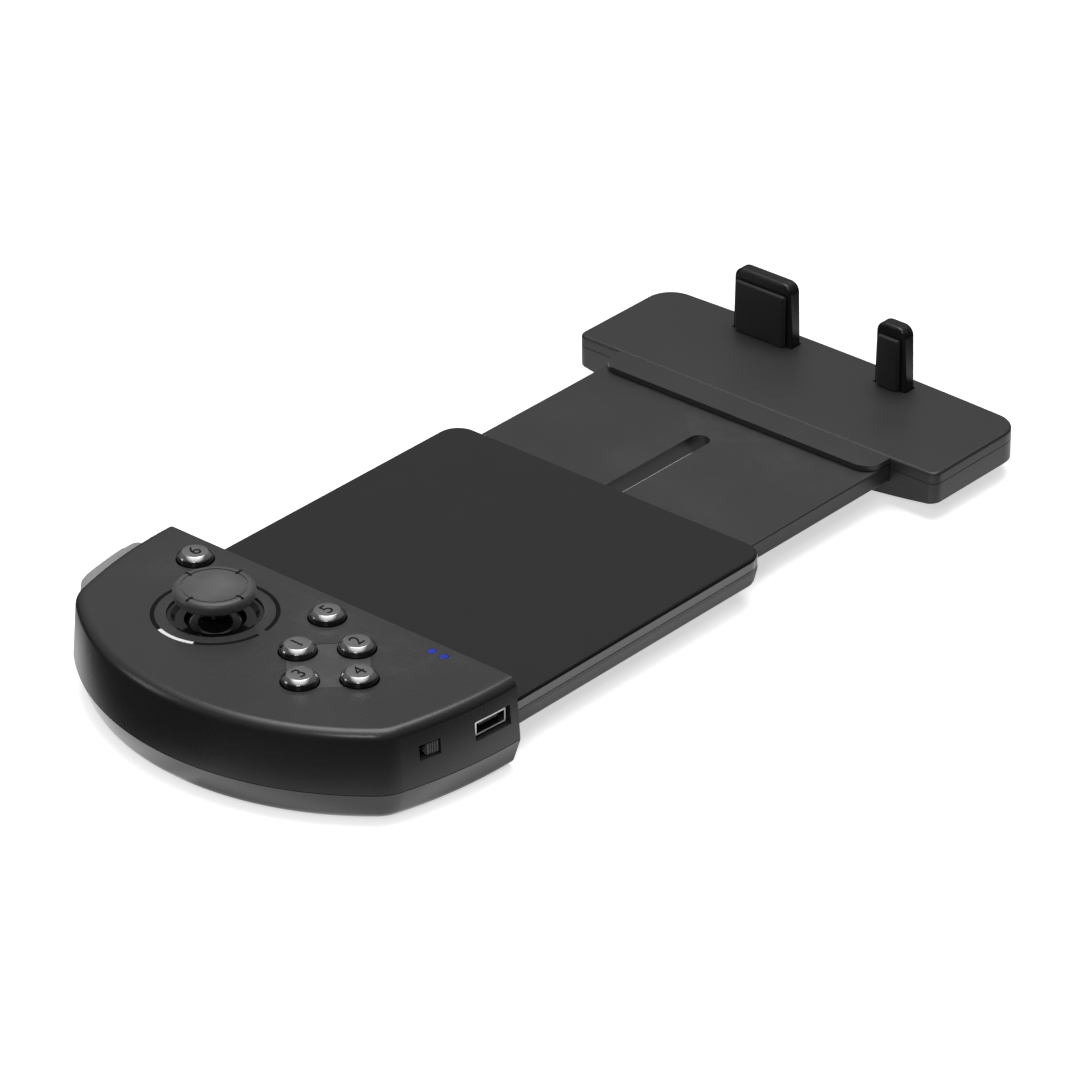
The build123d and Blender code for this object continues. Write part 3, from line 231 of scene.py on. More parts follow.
# %% A family of moulded plastics
def moulded(name, tone, rough, grain=0.35, depth=0.012):
    """Grey plastic, from its tone, its roughness, and the width and depth of its grain."""
    flow_width, wear_width = 22.0, 3.0
    flow_share, grain_share, wear_share = 0.5, 0.35, 0.5
    flow_gloss, grain_gloss = 0.06, 0.05
    hollow_tone, worn_tone = tone * 0.78, tone * 1.9
    made = Surface(name, roughness=rough, ior=1.5)
    flow = made.noise(flow_width, detail=4.0)
    fine = made.noise(grain, detail=2.0, rough=0.6)
    worn = made.edge() * made.noise(wear_width, detail=5.0, rough=0.7)
    shade = (flow * flow_share + fine * grain_share + worn * wear_share).clamp()
    made.drive("Base Color", made.ramp(shade, (0.1, grey(hollow_tone)), (0.6, grey(tone)),
                                       (1.0, grey(worn_tone))))
    made.drive("Roughness", (flow * flow_gloss * 2 + fine * grain_gloss + (rough - flow_gloss)).clamp())
    made.bump(fine, depth)
    return made.material


housing = moulded("housing_matte", tone=0.042, rough=0.26)
housing_low = moulded("housing_low", tone=0.030, rough=0.22, grain=0.4)
panel_satin = moulded("panel_satin", tone=0.066, rough=0.32, grain=0.3)
sleeve_side = moulded("sleeve_satin", tone=0.06, rough=0.38)
slider_grey = moulded("slider_satin", tone=0.035, rough=0.36, grain=0.3)
tail_grey = moulded("tail_satin", tone=0.035, rough=0.40, grain=0.32)
hook_black = moulded("hook_satin", tone=0.012, rough=0.30, grain=0.28, depth=0.006)
shoulder_grey = moulded("shoulder_satin", tone=0.30, rough=0.40, grain=0.3)
knob_grey = moulded("knob_ribbed", tone=0.22, rough=0.40, grain=0.25)
inner_black = moulded("inner_black", tone=0.02, rough=0.5)
groove_black = moulded("groove_black", tone=0.004, rough=0.6)
groove_black.node_tree.nodes["Principled BSDF"].inputs["Specular IOR Level"].default_value = 0.1
print("plastics", len(bpy.data.materials))

# %% [markdown]
# ## Gloss black, white inlay and clear pipes
# Gloss black carries faint swirls and hairline scratches under a clear coat. The scratches could be an
# image, but noise stretched along one axis stays sharp at any distance. The white mark on the ring
# has the same finish. The two light pipes are blue plastic that glows a little from within.

# %% Gloss
def glossy(name, tone, rough):
    """Polished plastic with a hazy bloom and hairline scratches that run along X."""
    haze_width, scratch_width, scratch_from = 9.0, 0.6, 0.62
    haze_gloss, scratch_gloss, haze_depth = 0.03, 0.03, 0.004
    deep_tone, hazy_tone = tone * 0.8, tone * 1.25
    made = Surface(name, roughness=rough, coat_weight=0.6, coat_roughness=0.04, ior=1.5)
    haze = made.noise(haze_width, detail=5.0, rough=0.65)
    scratch = made.noise(scratch_width, detail=3.0, rough=0.7, stretch=(0.12, 1.0, 1.0)) > scratch_from
    made.drive("Base Color", made.ramp(haze, (0.2, grey(deep_tone)), (0.8, grey(hazy_tone))))
    made.drive("Roughness", (haze * haze_gloss + scratch * scratch_gloss + rough).clamp())
    made.bump(haze, haze_depth, strength=0.5)
    return made.material


gloss_black = glossy("gloss_black", tone=0.008, rough=0.10)
sleeve_black = glossy("sleeve_gloss", tone=0.007, rough=0.14)
marker_white = glossy("marker_white", tone=0.85, rough=0.3)

pipe_dark, pipe_light = (0.012, 0.02, 0.20), (0.03, 0.05, 0.38)
glow_dark, glow_light = (0.0, 0.02, 0.35), (0.01, 0.05, 0.6)
spread_width = 0.8
light = Surface("light_pipe", roughness=0.2, emission_strength=0.12)
spread = light.noise(spread_width, detail=2.0)
light.drive("Base Color", light.ramp(spread, (0.2, pipe_dark), (0.8, pipe_light)))
light.drive("Emission Color", light.ramp(spread, (0.2, glow_dark), (0.8, glow_light)))
print("with gloss and light pipes", len(bpy.data.materials))

# %% [markdown]
# ## Rubber
# Rubber is nearly featureless but never even. It could be one soft grey, yet the stick's cap has a
# painted sheen that lightens its middle, so the function takes the place of that sheen. The black of the
# cap's ticks and of the numerals is dull in the same way, so the same function makes it, with less shine.

# %% Rubber
def soft(name, tone, rough, sheen_place=None, shine=0.5):
    """Rubber. A place and a radius in sheen_place lighten it there with a painted sheen."""
    patch_width, grain_width, grain_depth, wear_width = 5.0, 0.22, 0.01, 1.6
    patch_share, grain_share, wear_and_sheen_share, painted_sheen_share = 0.6, 0.3, 0.5, 0.9
    patch_gloss, grain_gloss, level_gloss = 0.12, 0.08, 0.08
    hollow_tone, even_tone, wear_and_sheen_tone = tone * 0.8, tone * 1.15, tone * 1.7
    made = Surface(name, roughness=rough, sheen_weight=0.3 * shine, ior=1.45, specular_ior_level=shine)
    patch = made.noise(patch_width)
    fine = made.noise(grain_width, detail=2.0, rough=0.7)
    wear_and_sheen = made.edge() * made.noise(wear_width, detail=4.0)
    # Painted sheen: the colour is lighter towards that place, added to the real edge wear.
    if sheen_place:
        x, y, radius = sheen_place
        across = (made.axis("X") - x) * (1 / radius)
        along = (made.axis("Y") - y) * (1 / radius)
        wear_and_sheen = wear_and_sheen + (1.0 - across * across - along * along).clamp() * painted_sheen_share
    shade = (patch * patch_share + fine * grain_share + wear_and_sheen * wear_and_sheen_share).clamp()
    made.drive("Base Color", made.ramp(shade, (0.15, grey(hollow_tone)), (0.7, grey(even_tone)),
                                       (1.0, grey(wear_and_sheen_tone))))
    made.drive("Roughness", (patch * patch_gloss + fine * grain_gloss + (rough - level_gloss)).clamp())
    made.bump(fine, grain_depth)
    return made.material


stick = (-70.8, 14.0)
# Radius of the painted sheen on the middle of the cap.
sheen_radius = 7.5
cap_rubber = soft("stick_rubber", tone=0.074, rough=0.36, sheen_place=(*stick, sheen_radius))
pad_rubber = soft("pad_rubber", tone=0.014, rough=0.55)
silicone = soft("silicone", tone=0.5, rough=0.45)
tick_black = soft("tick_black", tone=0.004, rough=0.7, shine=0.1)
numeral_ink = soft("numeral_ink", tone=0.006, rough=0.6, shine=0.1)
print("with rubber", len(bpy.data.materials))

# %% [markdown]
# ## Plating, steel and the circuit board
# The button caps are plated under a clear coat, with a grain too fine to see as lines. Screws and the
# socket are duller steel, and the battery is wrapped in foil. The board, which shows only when the
# housing is opened, is green lacquer over copper tracks. The tracks could be drawn one by one, but
# stretched noise cut at one level looks like them at a glance, which is enough inside a housing.

# %% Metals and board
def metal(name, tone, rough, grain=0.15, depth=0.002):
    """Metal under a thin clear coat, from its tone, its roughness and its grain."""
    haze_width, haze_gloss, grain_gloss, level_gloss = 2.5, 0.08, 0.05, 0.04
    dull_tone, bright_tone = tone * 0.85, tone * 1.1
    made = Surface(name, metallic=1.0, roughness=rough, coat_weight=0.3, coat_roughness=0.05)
    haze = made.noise(haze_width, detail=4.0)
    fine = made.noise(grain, detail=2.0, rough=0.6)
    made.drive("Base Color", made.ramp(haze, (0.2, grey(dull_tone)), (0.8, grey(bright_tone))))
    made.drive("Roughness", (haze * haze_gloss + fine * grain_gloss + (rough - level_gloss)).clamp())
    made.bump(fine, depth)
    return made.material


plated = metal("plated_dark", tone=0.70, rough=0.13)
steel = metal("steel_bright", tone=0.6, rough=0.28)
foil = metal("foil", tone=0.65, rough=0.35, grain=0.8, depth=0.02)

lacquer_dark, lacquer_light = (0.004, 0.05, 0.02), (0.02, 0.16, 0.06)
track_width, track_from, track_share, track_depth = 1.4, 0.53, 0.6, 0.03
cloud_width, cloud_share = 6.0, 0.3
board = Surface("board_green", roughness=0.4, coat_weight=0.5, coat_roughness=0.2)
copper = board.noise(track_width, detail=1.0, stretch=(0.25, 1.0, 1.0)) > track_from
tracks = copper * track_share + board.noise(cloud_width) * cloud_share
board.drive("Base Color", board.ramp(tracks.clamp(), (0.2, lacquer_dark), (0.8, lacquer_light)))
board.bump(tracks, track_depth)
print("with metals and board", len(bpy.data.materials))

# %% [markdown]
# ## Materials on the carried-over solids
# Each solid keeps its mesh, because its shape and place are right already. It gets the material of
# the record's slot that it belongs to. Four solids share a slot with others but have a
# finish of their own.

# %% Paint the solids
paint = {
    "housing": housing, "sleeve_gloss": sleeve_black, "sleeve_body": sleeve_side, "slider": tail_grey,
    "hook_plastic": hook_black, "soft_pad": pad_rubber, "soft_cap": cap_rubber, "stick_gloss": gloss_black,
    "marker_white": marker_white, "plated_cap": plated, "button_black": gloss_black,
    "shoulder_grey": shoulder_grey, "silicone": silicone, "board": board.material, "battery_wrap": foil,
    "inner_plastic": inner_black, "knob_plastic": knob_grey, "steel": steel, "light_pipe": light.material,
}
own_finish = {"bottom_shell": housing_low, "slider_arm": slider_grey, "button_panel": panel_satin,
              "ring_trim": groove_black}
slot_of = {part["node"]: part["material_slot"] for part in frame["record"]["subparts"]}
for name, node in nodes.items():
    node.data.materials.clear()
    node.data.materials.append(own_finish.get(name, paint[slot_of[name]]))
print("painted", len(nodes))

# %% [markdown]
# ## Tools for turned pieces and soft blocks
# The stick's cap, the plated caps and the elastic domes are turned forms, so a profile spun round an
# axis makes them. The pads are soft blocks with rounded edges. All are made in place, in the frame's
# own axes, so that each finished object can stay at the origin.

# %% Put a piece in the scene
def place_piece(name, mesh, material, body, slot, *replaced):
    """Object of a mesh, riding on a body, in the place of the nodes named last. The slot is not used."""
    sharp_from = 40
    mesh.materials.clear()
    mesh.materials.append(material)
    made = bpy.data.objects.new(name, mesh)
    bpy.context.scene.collection.objects.link(made)
    for polygon in mesh.polygons:
        polygon.use_smooth = True
    mesh.set_sharp_from_angle(angle=math.radians(sharp_from))
    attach(made, body)
    if replaced:
        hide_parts(*replaced)
    return made


def mesh_from(name, made):
    """Mesh of a finished bmesh, with its faces turned outwards."""
    bmesh.ops.recalc_face_normals(made, faces=made.faces)
    mesh = bpy.data.meshes.new(name)
    made.to_mesh(mesh)
    made.free()
    return mesh


print("pieces can be placed")

# %% Profiles, turned forms and blocks
def arc(centre, radius, start, end, count=7):
    """Points of a small arc in a profile, angles in degrees from outwards towards up."""
    turns = [math.radians(start + (end - start) * k / (count - 1)) for k in range(count)]
    return [(centre[0] + radius * math.cos(turn), centre[1] + radius * math.sin(turn)) for turn in turns]


def turned(name, profile, centre, steps=160):
    """Closed mesh from a profile of (radius, height) pairs, spun round a vertical axis."""
    on_axis = 1e-6
    made = bmesh.new()
    rings = []
    for radius, height in profile:
        if radius < on_axis:
            rings.append([made.verts.new((centre[0] * mm, centre[1] * mm, height * mm))])
            continue
        turns = [2 * math.pi * k / steps for k in range(steps)]
        rings.append([made.verts.new(((centre[0] + radius * math.cos(turn)) * mm,
                                      (centre[1] + radius * math.sin(turn)) * mm,
                                      height * mm)) for turn in turns])
    pairs = list(zip(rings, rings[1:]))
    if profile[0][0] > on_axis and profile[-1][0] > on_axis:
        pairs.append((rings[-1], rings[0]))
    for low_ring, high_ring in pairs:
        for k in range(steps):
            corners = [low_ring[k % len(low_ring)], low_ring[(k + 1) % len(low_ring)],
                       high_ring[(k + 1) % len(high_ring)], high_ring[k % len(high_ring)]]
            made.faces.new(list(dict.fromkeys(corners)))
    return mesh_from(name, made)


round_profile = 0.5


def block(name, low, high, radius, segments=4):
    """Closed block between two corners, with all its edges rounded."""
    made = bmesh.new()
    bmesh.ops.create_cube(made, size=1.0)
    for vertex in made.verts:
        vertex.co = Vector([(low[k] + high[k]) / 2 + vertex.co[k] * (high[k] - low[k])
                            for k in range(3)]) * mm
    bmesh.ops.bevel(made, geom=made.edges[:], offset=radius * mm, segments=segments, affect="EDGES",
                    profile=round_profile, clamp_overlap=True)
    return mesh_from(name, made)


print("forms can be turned and blocked")

# %% [markdown]
# ## The stick's soft cap
# The real cap is one rubber moulding: a shallow dish, a fine ring groove, a round rim, and a socket
# below that grips the stem. All of it is round, so one profile describes it, from the middle of the
# dish outwards, over the rim and back under to the socket.

# %% Cap
cap_radius, cap_top, cap_low = 7.8, 24.8, 21.85
rim_low, rim_round, rim_foot_round = 22.2, 1.15, 1.0
dish_radius, dish_depth = 7.0, 0.25
socket_radius, socket_top, socket_lip = 2.56, 23.8, 4.8
dish = [(r, cap_top - dish_depth * (1 - (r / dish_radius) ** 2)) for r in (0.0, 1.5, 3.0, 4.5, 5.6, 5.95)]
groove_floor = cap_top - 0.24
groove = [(6.02, cap_top - 0.07), (6.06, groove_floor), (6.3, groove_floor), (6.35, cap_top - 0.03)]
rim = [(6.6, cap_top)]
rim += arc((cap_radius - rim_round, cap_top - rim_round), rim_round, 86, 0)
rim += arc((cap_radius - rim_foot_round, rim_low + rim_foot_round), rim_foot_round, 0, -84, 6)
under = [(socket_lip, cap_low), (socket_radius, cap_low), (socket_radius, socket_top), (0.0, socket_top)]
mesh = turned("stick_cap_soft", dish + groove + rim + under, stick)
place_piece("stick_cap_soft", mesh, cap_rubber, "stick", "soft_cap", "stick_cap")
print("cap points", len(dish + groove + rim + under))

# %% [markdown]
# ## The stick's collar
# A gloss black collar swells out between the cap and the dome. A stretched sphere would come near
# it, but its lower side is fuller than its upper one, so it has a profile too. It is kept small
# enough to stay clear of the well when the stick leans both ways at once.

# %% Collar
collar = [(2.53, 19.62), (3.5, 19.62), (3.66, 19.7), (3.74, 19.88), (3.7, 20.1), (3.54, 20.42),
          (3.28, 20.75), (3.0, 21.08), (2.75, 21.4), (2.6, 21.82)]
mesh = turned("stick_collar", collar, stick, steps=96)
place_piece("stick_collar", mesh, gloss_black, "stick", "stick_gloss")
print("collar", collar[0], "to", collar[-1])

# %% [markdown]
# ## Four ticks round the cap
# Four short dark ticks cross the cap's groove. They are one form, repeated round a ring, which is
# work for Geometry Nodes: a circle gives the places, and each place turns its copy outwards. The
# result is made a plain mesh, because an export keeps no instances.

# %% A node tree that repeats a form round a ring
def ring_tree():
    """Geometry Nodes tree that sets copies of its own mesh round a ring, each facing outwards."""
    tree = bpy.data.node_groups.new("copies_round_a_ring", "GeometryNodeTree")
    for name, kind in (("Geometry", "NodeSocketGeometry"), ("Count", "NodeSocketInt"),
                       ("Ring Radius", "NodeSocketFloat"), ("Material", "NodeSocketMaterial")):
        tree.interface.new_socket(name, in_out="INPUT", socket_type=kind)
    tree.interface.new_socket("Geometry", in_out="OUTPUT", socket_type="NodeSocketGeometry")
    web = Web(tree)
    given = web.node("NodeGroupInput").outputs
    ring = web.node("GeometryNodeMeshCircle", {"Vertices": given["Count"], "Radius": given["Ring Radius"]})
    place = web.node("GeometryNodeInputPosition").outputs["Position"]
    facing = web.node("FunctionNodeAlignRotationToVector", {"Vector": place}, axis="X", pivot_axis="Z")
    copies = web.node("GeometryNodeInstanceOnPoints", {"Points": ring.outputs["Mesh"],
                                                       "Instance": given["Geometry"],
                                                       "Rotation": facing.outputs["Rotation"]})
    real = web.node("GeometryNodeRealizeInstances", {"Geometry": copies.outputs["Instances"]})
    dressed = web.node("GeometryNodeSetMaterial", {"Geometry": real.outputs["Geometry"],
                                                   "Material": given["Material"]})
    web.node("NodeGroupOutput", {"Geometry": dressed.outputs["Geometry"]})
    return tree


def round_a_ring(mesh, count, radius, material):
    """Plain mesh of that many copies of a mesh round a ring of that radius."""
    source = bpy.data.objects.new("ring_source", mesh)
    bpy.context.scene.collection.objects.link(source)
    modifier = source.modifiers.new("ring", "NODES")
    modifier.node_group = ring_tree()
    sockets = modifier.node_group.interface.items_tree
    names = {socket.name: socket.identifier for socket in sockets if socket.in_out == "INPUT"}
    modifier[names["Count"]] = count
    modifier[names["Ring Radius"]] = radius * mm
    modifier[names["Material"]] = material
    evaluated = source.evaluated_get(bpy.context.evaluated_depsgraph_get())
    made = bpy.data.meshes.new_from_object(evaluated)
    bpy.data.objects.remove(source)
    return made


print("ring tree ready")

# %% Ticks
tick_count, tick_ring = 4, 6.55
tick_half_length, tick_half_width = 0.8, 0.26
tick_depth, tick_stand, tick_round = 0.25, 0.012, 0.05
tick = block("stick_tick", (-tick_half_length, -tick_half_width, cap_top - tick_depth),
             (tick_half_length, tick_half_width, cap_top + tick_stand), tick_round, segments=2)
mesh = round_a_ring(tick, tick_count, tick_ring, tick_black)
mesh.transform(Matrix.Translation((stick[0] * mm, stick[1] * mm, 0)))
place_piece("stick_ticks", mesh, tick_black, "stick", "soft_cap")
print("ticks", len(mesh.polygons), "faces")

# %% [markdown]
# ## Pads on the hooks and the strip on the end face
# Soft pads face each other across the clamp: two on the hooks, and a long strip let into the grip's
# end face. The real ones are flat rubber with a rounded edge, which a rounded block gives.

# %% Pads
pad_face, pad_thickness, pad_low, pad_high, pad_round = 91.1, 1.1, 10.72, 22.08, 0.42
for name, middle, width in (("wide", 16.5, 12.6), ("narrow", -16.5, 5.2)):
    mesh = block("pad_soft_" + name, (pad_face, middle - width / 2, pad_low),
                 (pad_face + pad_thickness, middle + width / 2, pad_high), pad_round)
    place_piece("pad_soft_" + name, mesh, pad_rubber, "clamp", "soft_pad", "pad_" + name)

end_x = -52.5
strip_depth, strip_half_length, strip_low, strip_high, strip_round = 0.78, 29.98, 12.52, 17.08, 0.3
mesh = block("end_pad_soft", (end_x - strip_depth, -strip_half_length, strip_low),
             (end_x, strip_half_length, strip_high), strip_round)
place_piece("end_pad_soft", mesh, pad_rubber, "base", "soft_pad", "end_pad")

# %% [markdown]
# ## The shoulder button's band
# The shoulder button is a curved bar that follows the side wall and swings on a pin. Its outer line
# stands a set distance off the wall, rises in a short curve at the near end and tapers at the far
# end. So its outline is given as places beside the wall, and a formula turns them to the frame's
# axes. A boss round the pin and a short arm join it to the housing.

# %% The line of the side wall
half_width = 45.1
wall_run, wall_bow = 30.0, 4.8
wall_radius = (wall_run ** 2 + wall_bow ** 2) / (2 * wall_bow)


def beside_wall(back, stand):
    """Place that far behind the end face and that far outside the side wall."""
    bow = math.sqrt(wall_radius ** 2 - back ** 2) - wall_radius
    return (end_x - back, half_width + bow + stand)


print("wall radius", round(wall_radius, 2))

# %% Band
band_low, band_high, band_stand, band_round = 10.9, 16.9, 2.05, 0.45
inner_far, inner_step, inner_count, inner_stand = 26.5, 2.1, 11, -2.0
near_curve = [(5.5, 0.4), (5.75, 1.15), (6.3, 1.7), (7.1, 1.98)]
flank = [(8.2 + 1.6 * k, band_stand) for k in range(10)]
far_curve = [(23.2, 1.9), (23.9, 1.5), (25.6, 0.4), (inner_far, -0.1)]
inner_line = [(inner_far - inner_step * k, inner_stand) for k in range(inner_count)]
outline = [beside_wall(*place) for place in near_curve + flank + far_curve + inner_line]

made = bmesh.new()
low_face = made.faces.new([made.verts.new((x * mm, y * mm, band_low * mm)) for x, y in outline])
grown = bmesh.ops.extrude_face_region(made, geom=[low_face])
for vertex in grown["geom"]:
    if isinstance(vertex, bmesh.types.BMVert):
        vertex.co.z = band_high * mm
level_within = 1e-7
level = [edge for edge in made.edges if abs(edge.verts[0].co.z - edge.verts[1].co.z) < level_within]
bmesh.ops.bevel(made, geom=level, offset=band_round * mm, segments=3, affect="EDGES",
                profile=round_profile)

boss_radius, boss_height, boss_place = 2.2, 3.2, (-57.2, 38.2, 13.8)
boss = bmesh.ops.create_cone(made, cap_ends=True, segments=48, radius1=boss_radius * mm,
                             radius2=boss_radius * mm, depth=boss_height * mm)
bmesh.ops.translate(made, verts=boss["verts"], vec=Vector(boss_place) * mm)
arm_size, arm_place = (3.6, 5.2, boss_height), (-60.2, 40.6, 13.8)
arm = bmesh.ops.create_cube(made, size=1.0)
bmesh.ops.scale(made, verts=arm["verts"], vec=Vector(arm_size) * mm)
bmesh.ops.translate(made, verts=arm["verts"], vec=Vector(arm_place) * mm)
mesh = mesh_from("shoulder_band", made)
place_piece("shoulder_band", mesh, shoulder_grey, "shoulder", "shoulder_grey", "shoulder_button")
print("shoulder band points", len(outline))

# %% [markdown]
# ## Elastic domes and sheets under the buttons
# Each button stands on a hollow silicone dome that folds as it goes down. A simulation of the fold
# would be hidden, so the dome is a plain turned cone. The domes
# stand on thin silicone sheets: one for the four close buttons, and one for each of the others.

# %% Domes
buttons = [(-71.3, -7.4), (-63.6, -15.1), (-79.0, -15.1), (-71.3, -22.8), (-58.75, -3.15), (-58.75, 30.7)]
sheet_low, sheet_high, sheet_round = 11.0, 11.9, 0.3
dome = [(0.0, sheet_high), (3.4, sheet_high), (3.35, 12.2), (2.6, 15.3), (2.35, 15.75), (0.0, 15.86)]
for k, centre in enumerate(buttons, 1):
    mesh = turned("dome_soft_%d" % k, dome, centre, steps=48)
    piece = place_piece("dome_soft_%d" % k, mesh, silicone, "base", "silicone", "button_dome_%d" % k)
    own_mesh(piece)
print("domes", len(buttons))


# %% Sheets
def sheet(name, centre, half, *replaced):
    """Square silicone sheet of that half width."""
    x, y = centre
    mesh = block(name, (x - half, y - half, sheet_low), (x + half, y + half, sheet_high), sheet_round)
    place_piece(name, mesh, silicone, "base", "silicone", *replaced)


close_middle, close_half, single_half = (-71.3, -15.1), 12.9, 3.6
sheet("keypad_soft", close_middle, close_half, "keypad_sheet")
for k, centre in enumerate(buttons[4:], 1):
    sheet("keypad_soft_%d" % k, centre, single_half)
print("sheets", [2 * close_half, 2 * single_half])

# %% [markdown]
# ## Plated caps
# Each button ends in a low plated cap with a wide bevel, above the black plunger. The bevel could be
# a modifier on a cylinder, but a profile says its width and slope at once. It faces the light
# overhead, so it shows as the bright crescent of the photograph.

# %% Caps
cap_foot, cap_crown, cap_foot_radius = 19.93, 20.75, 3.26
foot_arc = arc((3.20, 20.03), 0.1, -30, 40, 4)
crown_arc = arc((2.40, 20.52), 0.2, 48, 84, 4)
profile = [(0.0, cap_foot), (cap_foot_radius, cap_foot)] + foot_arc + crown_arc
profile += [(1.3, 20.745), (0.0, cap_crown)]
for k, centre in enumerate(buttons, 1):
    mesh = turned("cap_plated_%d" % k, profile, centre, steps=96)
    place_piece("cap_plated_%d" % k, mesh, plated, "button_%d" % k, "plated_cap", "button_cap_%d" % k)
print("caps", len(buttons))

# %% [markdown]
# ## Plain numerals on the caps
# Plain numerals tell the six caps apart. They could be a pattern in the caps' material, but a print
# has a sharp outline, and a text curve gives that with a few settings. The curve is made a mesh
# before it gets its place, because a finished piece's object stays at the origin.

# %% Numerals
numeral_size, numeral_thickness = 4.2, 0.03
for k, centre in enumerate(buttons, 1):
    text = bpy.data.curves.new("numeral_%d" % k, "FONT")
    text.body = str(k)
    text.size = numeral_size * mm
    text.extrude = numeral_thickness * mm
    text.align_x = "CENTER"
    text.align_y = "CENTER"
    holder = bpy.data.objects.new("numeral_source", text)
    bpy.context.scene.collection.objects.link(holder)
    bpy.context.view_layer.update()
    evaluated = holder.evaluated_get(bpy.context.evaluated_depsgraph_get())
    mesh = bpy.data.meshes.new_from_object(evaluated)
    bpy.data.objects.remove(holder)
    mesh.name = "numeral_%d" % k
    mesh.transform(Matrix.Translation((centre[0] * mm, centre[1] * mm, cap_crown * mm)))
    place_piece("numeral_%d" % k, mesh, numeral_ink, "button_%d" % k, "button_black")
print("numerals", len(buttons))

# %% [markdown]
# ## Camera
# The camera stands where the photograph was taken from: more than a metre away, with a long lens, so
# that the far end of the object looks hardly smaller than the near end. Two directions of the
# picture, to the right and down, say how it is turned, and the third follows from them.

# %% Camera
camera_place = (-774.96, -685.14, 593.43)
lens_length, film_width = 205.92, 36.0
right = Vector((0.6573, -0.7536, -0.0067)).normalized()
down = Vector((-0.3746, -0.3189, -0.8706)).normalized()
forward = right.cross(down).normalized()
turn = Matrix((right, -down, -forward)).transposed().to_4x4()
camera = bpy.data.objects.new("camera", bpy.data.cameras.new("camera"))
bpy.context.scene.collection.objects.link(camera)
camera.matrix_world = Matrix.Translation(Vector(camera_place) * mm) @ turn
camera.data.lens = lens_length
camera.data.sensor_width = film_width
nearest_seen, farthest_seen = 0.05, 20.0
camera.data.clip_start = nearest_seen
camera.data.clip_end = farthest_seen
bpy.context.scene.camera = camera
print("camera", [round(v, 3) for v in camera.location])

# %% [markdown]
# ## Floor
# The backdrop is a plain pale floor. To the camera it is nearly white and takes a soft shadow. Black
# plastic shows mostly what it mirrors, and in the photograph its walls mirror a floor that is bright
# near the object and dark a hand's breadth away. Black cards round the object could do that, as in a
# studio, but they would show in other views. So for mirrored rays the floor's glow depends on how far
# a place is from the object's foot, and all other rays but the camera's get a weak share of it.

# %% What the camera sees of the floor
floor_paint = Surface("floor_white", roughness=0.9, specular_ior_level=0.0, emission_strength=1.0)
mottle_width, own_light = 60.0, 0.60
mottle = floor_paint.noise(mottle_width)
floor_paint.drive("Base Color", floor_paint.ramp(mottle, (0.3, grey(0.86)), (0.7, grey(0.87))))
floor_paint.shader.inputs["Emission Color"].default_value = (*grey(own_light), 1)
print("floor's own light", own_light)

# %% Distance from the object's foot, a round grip and a long part beyond it
grip_middle, grip_reach = -52.0, 47.0
long_middle, long_half, wide_half = 23.0, 75.0, 44.0
foot_margin, glow_reach = 3.0, 80.0
floor_x = floor_paint.axis("X")
floor_y = floor_paint.axis("Y")
from_grip = ((floor_x - grip_middle) ** 2.0 + floor_y ** 2.0).root() - grip_reach
from_long = (abs(floor_x - long_middle) - long_half).larger(abs(floor_y) - wide_half)
away = (from_grip.smaller(from_long) + foot_margin) / glow_reach
print("glow is worked out up to", glow_reach - foot_margin, "mm away")

# %% Glow for mirrored rays
nose_x, nose_fade, nose_share = -100.0, 60.0, 0.4
left_x, left_fade, left_y, left_rise, left_share = -80.0, 20.0, -5.0, 25.0, 0.22
beyond_nose = ((nose_x - floor_x) / nose_fade).clamp()
far_left = ((left_x - floor_x) / left_fade).clamp() * ((floor_y - left_y) / left_rise).clamp()
away = away + beyond_nose * nose_share + far_left * left_share
glow = floor_paint.ramp(away.clamp(), (0.0, grey(0.24)), (0.02, grey(0.36)), (0.045, grey(0.62)),
                        (0.08, grey(0.42)), (0.16, grey(0.52)), (0.26, grey(0.34)),
                        (0.37, grey(0.03)), (0.49, grey(0.0)))
weak_strength, mirror_strength = 0.22, 2.6
weak_glow = floor_paint.node("ShaderNodeEmission", {"Color": glow, "Strength": weak_strength})
mirror_glow = floor_paint.node("ShaderNodeEmission", {"Color": glow, "Strength": mirror_strength})
rays = floor_paint.node("ShaderNodeLightPath")
glowing = floor_paint.node("ShaderNodeMixShader", {0: rays.outputs["Is Glossy Ray"],
                                                   1: weak_glow.outputs[0],
                                                   2: mirror_glow.outputs[0]})
blend = floor_paint.node("ShaderNodeMixShader", {0: rays.outputs["Is Camera Ray"],
                                                 1: glowing.outputs[0],
                                                 2: floor_paint.shader.outputs[0]})
floor_paint.tree.links.new(blend.outputs[0], floor_paint.tree.nodes["Material Output"].inputs[0])
print("floor nodes", len(floor_paint.tree.nodes))

# %% Floor
floor_half, floor_low = 3.0, -0.02 * mm
quarters = ((-1, -1), (1, -1), (1, 1), (-1, 1))
mesh = bpy.data.meshes.new("floor")
mesh.from_pydata([Vector((x * floor_half, y * floor_half, floor_low)) for x, y in quarters], [],
                 [(0, 1, 2, 3)])
mesh.materials.append(floor_paint.material)
floor = bpy.data.objects.new("floor", mesh)
bpy.context.scene.collection.objects.link(floor)
print("floor", 2 * floor_half, "m wide")

# %% [markdown]
# ## Room
# The room has a wide soft light overhead, a dim wall beyond the object and a dark one behind the
# camera. It is a formula on the direction of a ray, so that no picture of a room is needed. The
# camera itself sees one plain pale tone.

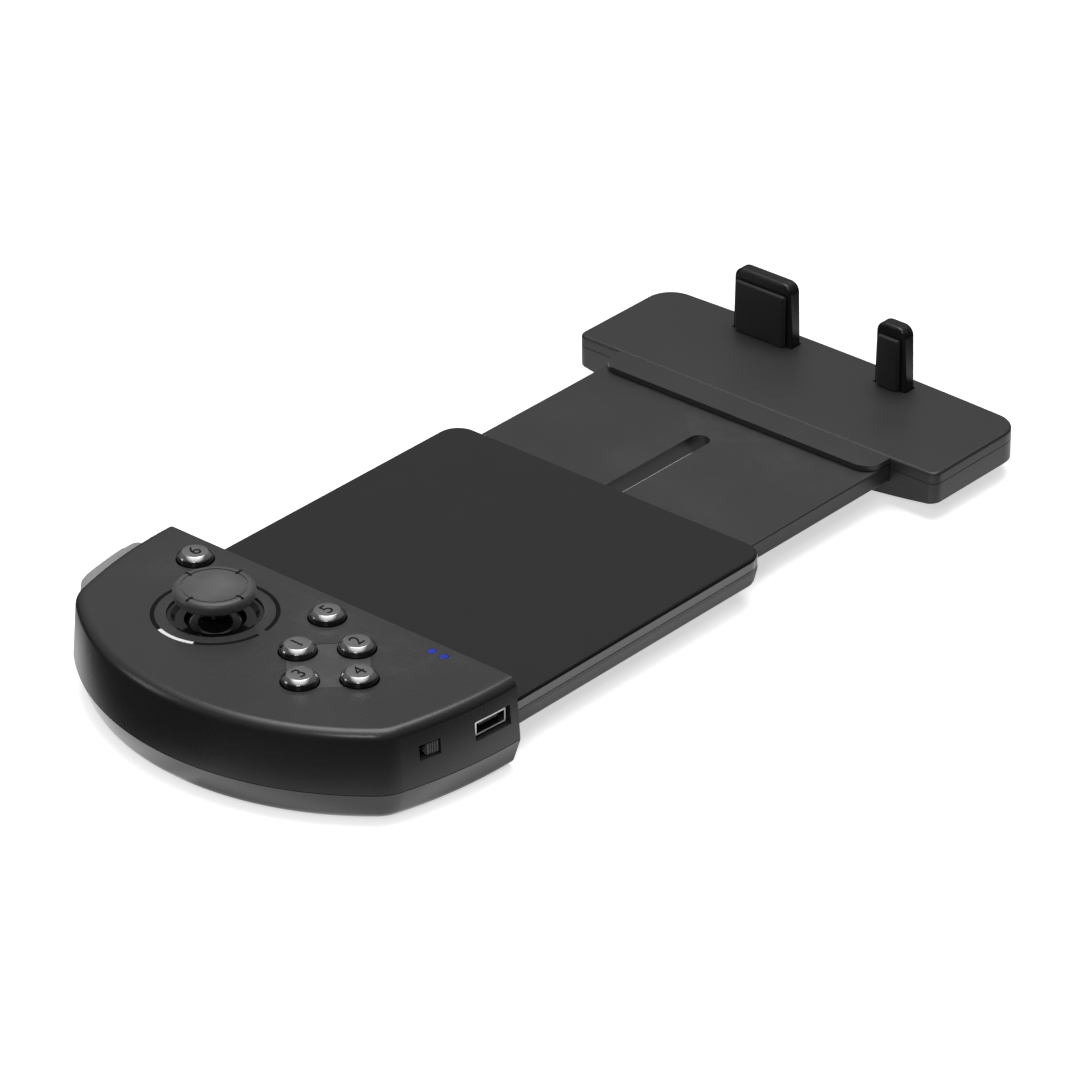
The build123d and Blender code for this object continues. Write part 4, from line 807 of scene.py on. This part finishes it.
# %% Light from each direction
world = bpy.data.worlds.new("world")
bpy.context.scene.world = world
world.use_nodes = True
web = Web(world.node_tree)
towards = web.node("ShaderNodeTexCoord").outputs["Generated"]
split = web.node("ShaderNodeSeparateXYZ", {"Vector": towards})
east, north, up = (Field(web, split.outputs[k]) for k in range(3))
view_east, view_north = 0.751, 0.660
wall_rise, wall_light, least_light = 0.55, 0.12, 0.02
overhead_from, overhead_contrast, overhead_light = 0.74, 5.0, 2.0
beyond = ((east * view_east + north * view_north) * 0.5 + 0.5).clamp()
overhead = ((up - overhead_from) * overhead_contrast).clamp()
room = beyond * beyond * (up.clamp() * wall_rise + wall_light) + least_light
room = room + overhead * (overhead_light - room)
print("room nodes", len(web.tree.nodes))

# %% Room
room_strength, seen_tone, seen_strength = 0.62, 0.8, 1.0
sky = web.node("ShaderNodeBackground", {"Color": room, "Strength": room_strength})
seen = web.tree.nodes["Background"]
seen.inputs["Color"].default_value = (*grey(seen_tone), 1)
seen.inputs["Strength"].default_value = seen_strength
rays = web.node("ShaderNodeLightPath")
mix = web.node("ShaderNodeMixShader", {0: rays.outputs["Is Camera Ray"], 1: sky.outputs[0],
                                       2: seen.outputs[0]})
web.tree.links.new(mix.outputs[0], web.tree.nodes["World Output"].inputs[0])
print("room and backdrop", len(web.tree.nodes))

# %% [markdown]
# ## Lamps
# Three lamps light it: a large key overhead, a small one beside the camera for the bright spots on the
# caps, and a weak one at the far left for the shoulder button. All are area lamps, because a wide one
# gives soft shadows and gloss mirrors its shape, which a point of light doesn't do.

# %% Lamps
def area_lamp(name, place, target, size, power):
    """Rectangular lamp at a place, in metres, that faces a target."""
    lamp = bpy.data.objects.new(name, bpy.data.lights.new(name, "AREA"))
    lamp.data.shape = "RECTANGLE"
    lamp.data.size = size[0]
    lamp.data.size_y = size[1]
    lamp.data.energy = power
    lamp.location = place
    lamp.rotation_euler = (Vector(target) - Vector(place)).to_track_quat("-Z", "Y").to_euler()
    bpy.context.scene.collection.objects.link(lamp)


area_lamp("key", place=(0.25, 0.15, 1.3), target=(0, 0, 0), size=(1.0, 1.0), power=10.5)
area_lamp("spark", place=(-0.85, -0.50, 0.78), target=(-0.07, 0.0, 0.02), size=(0.30, 0.30), power=2.2)
area_lamp("left", place=(-0.72, 0.80, 0.30), target=(-0.07, 0.0, 0.0), size=(0.25, 0.5), power=0.9)
bpy.context.scene.view_settings.view_transform = "Standard"
print("lamps", len(bpy.data.lights))
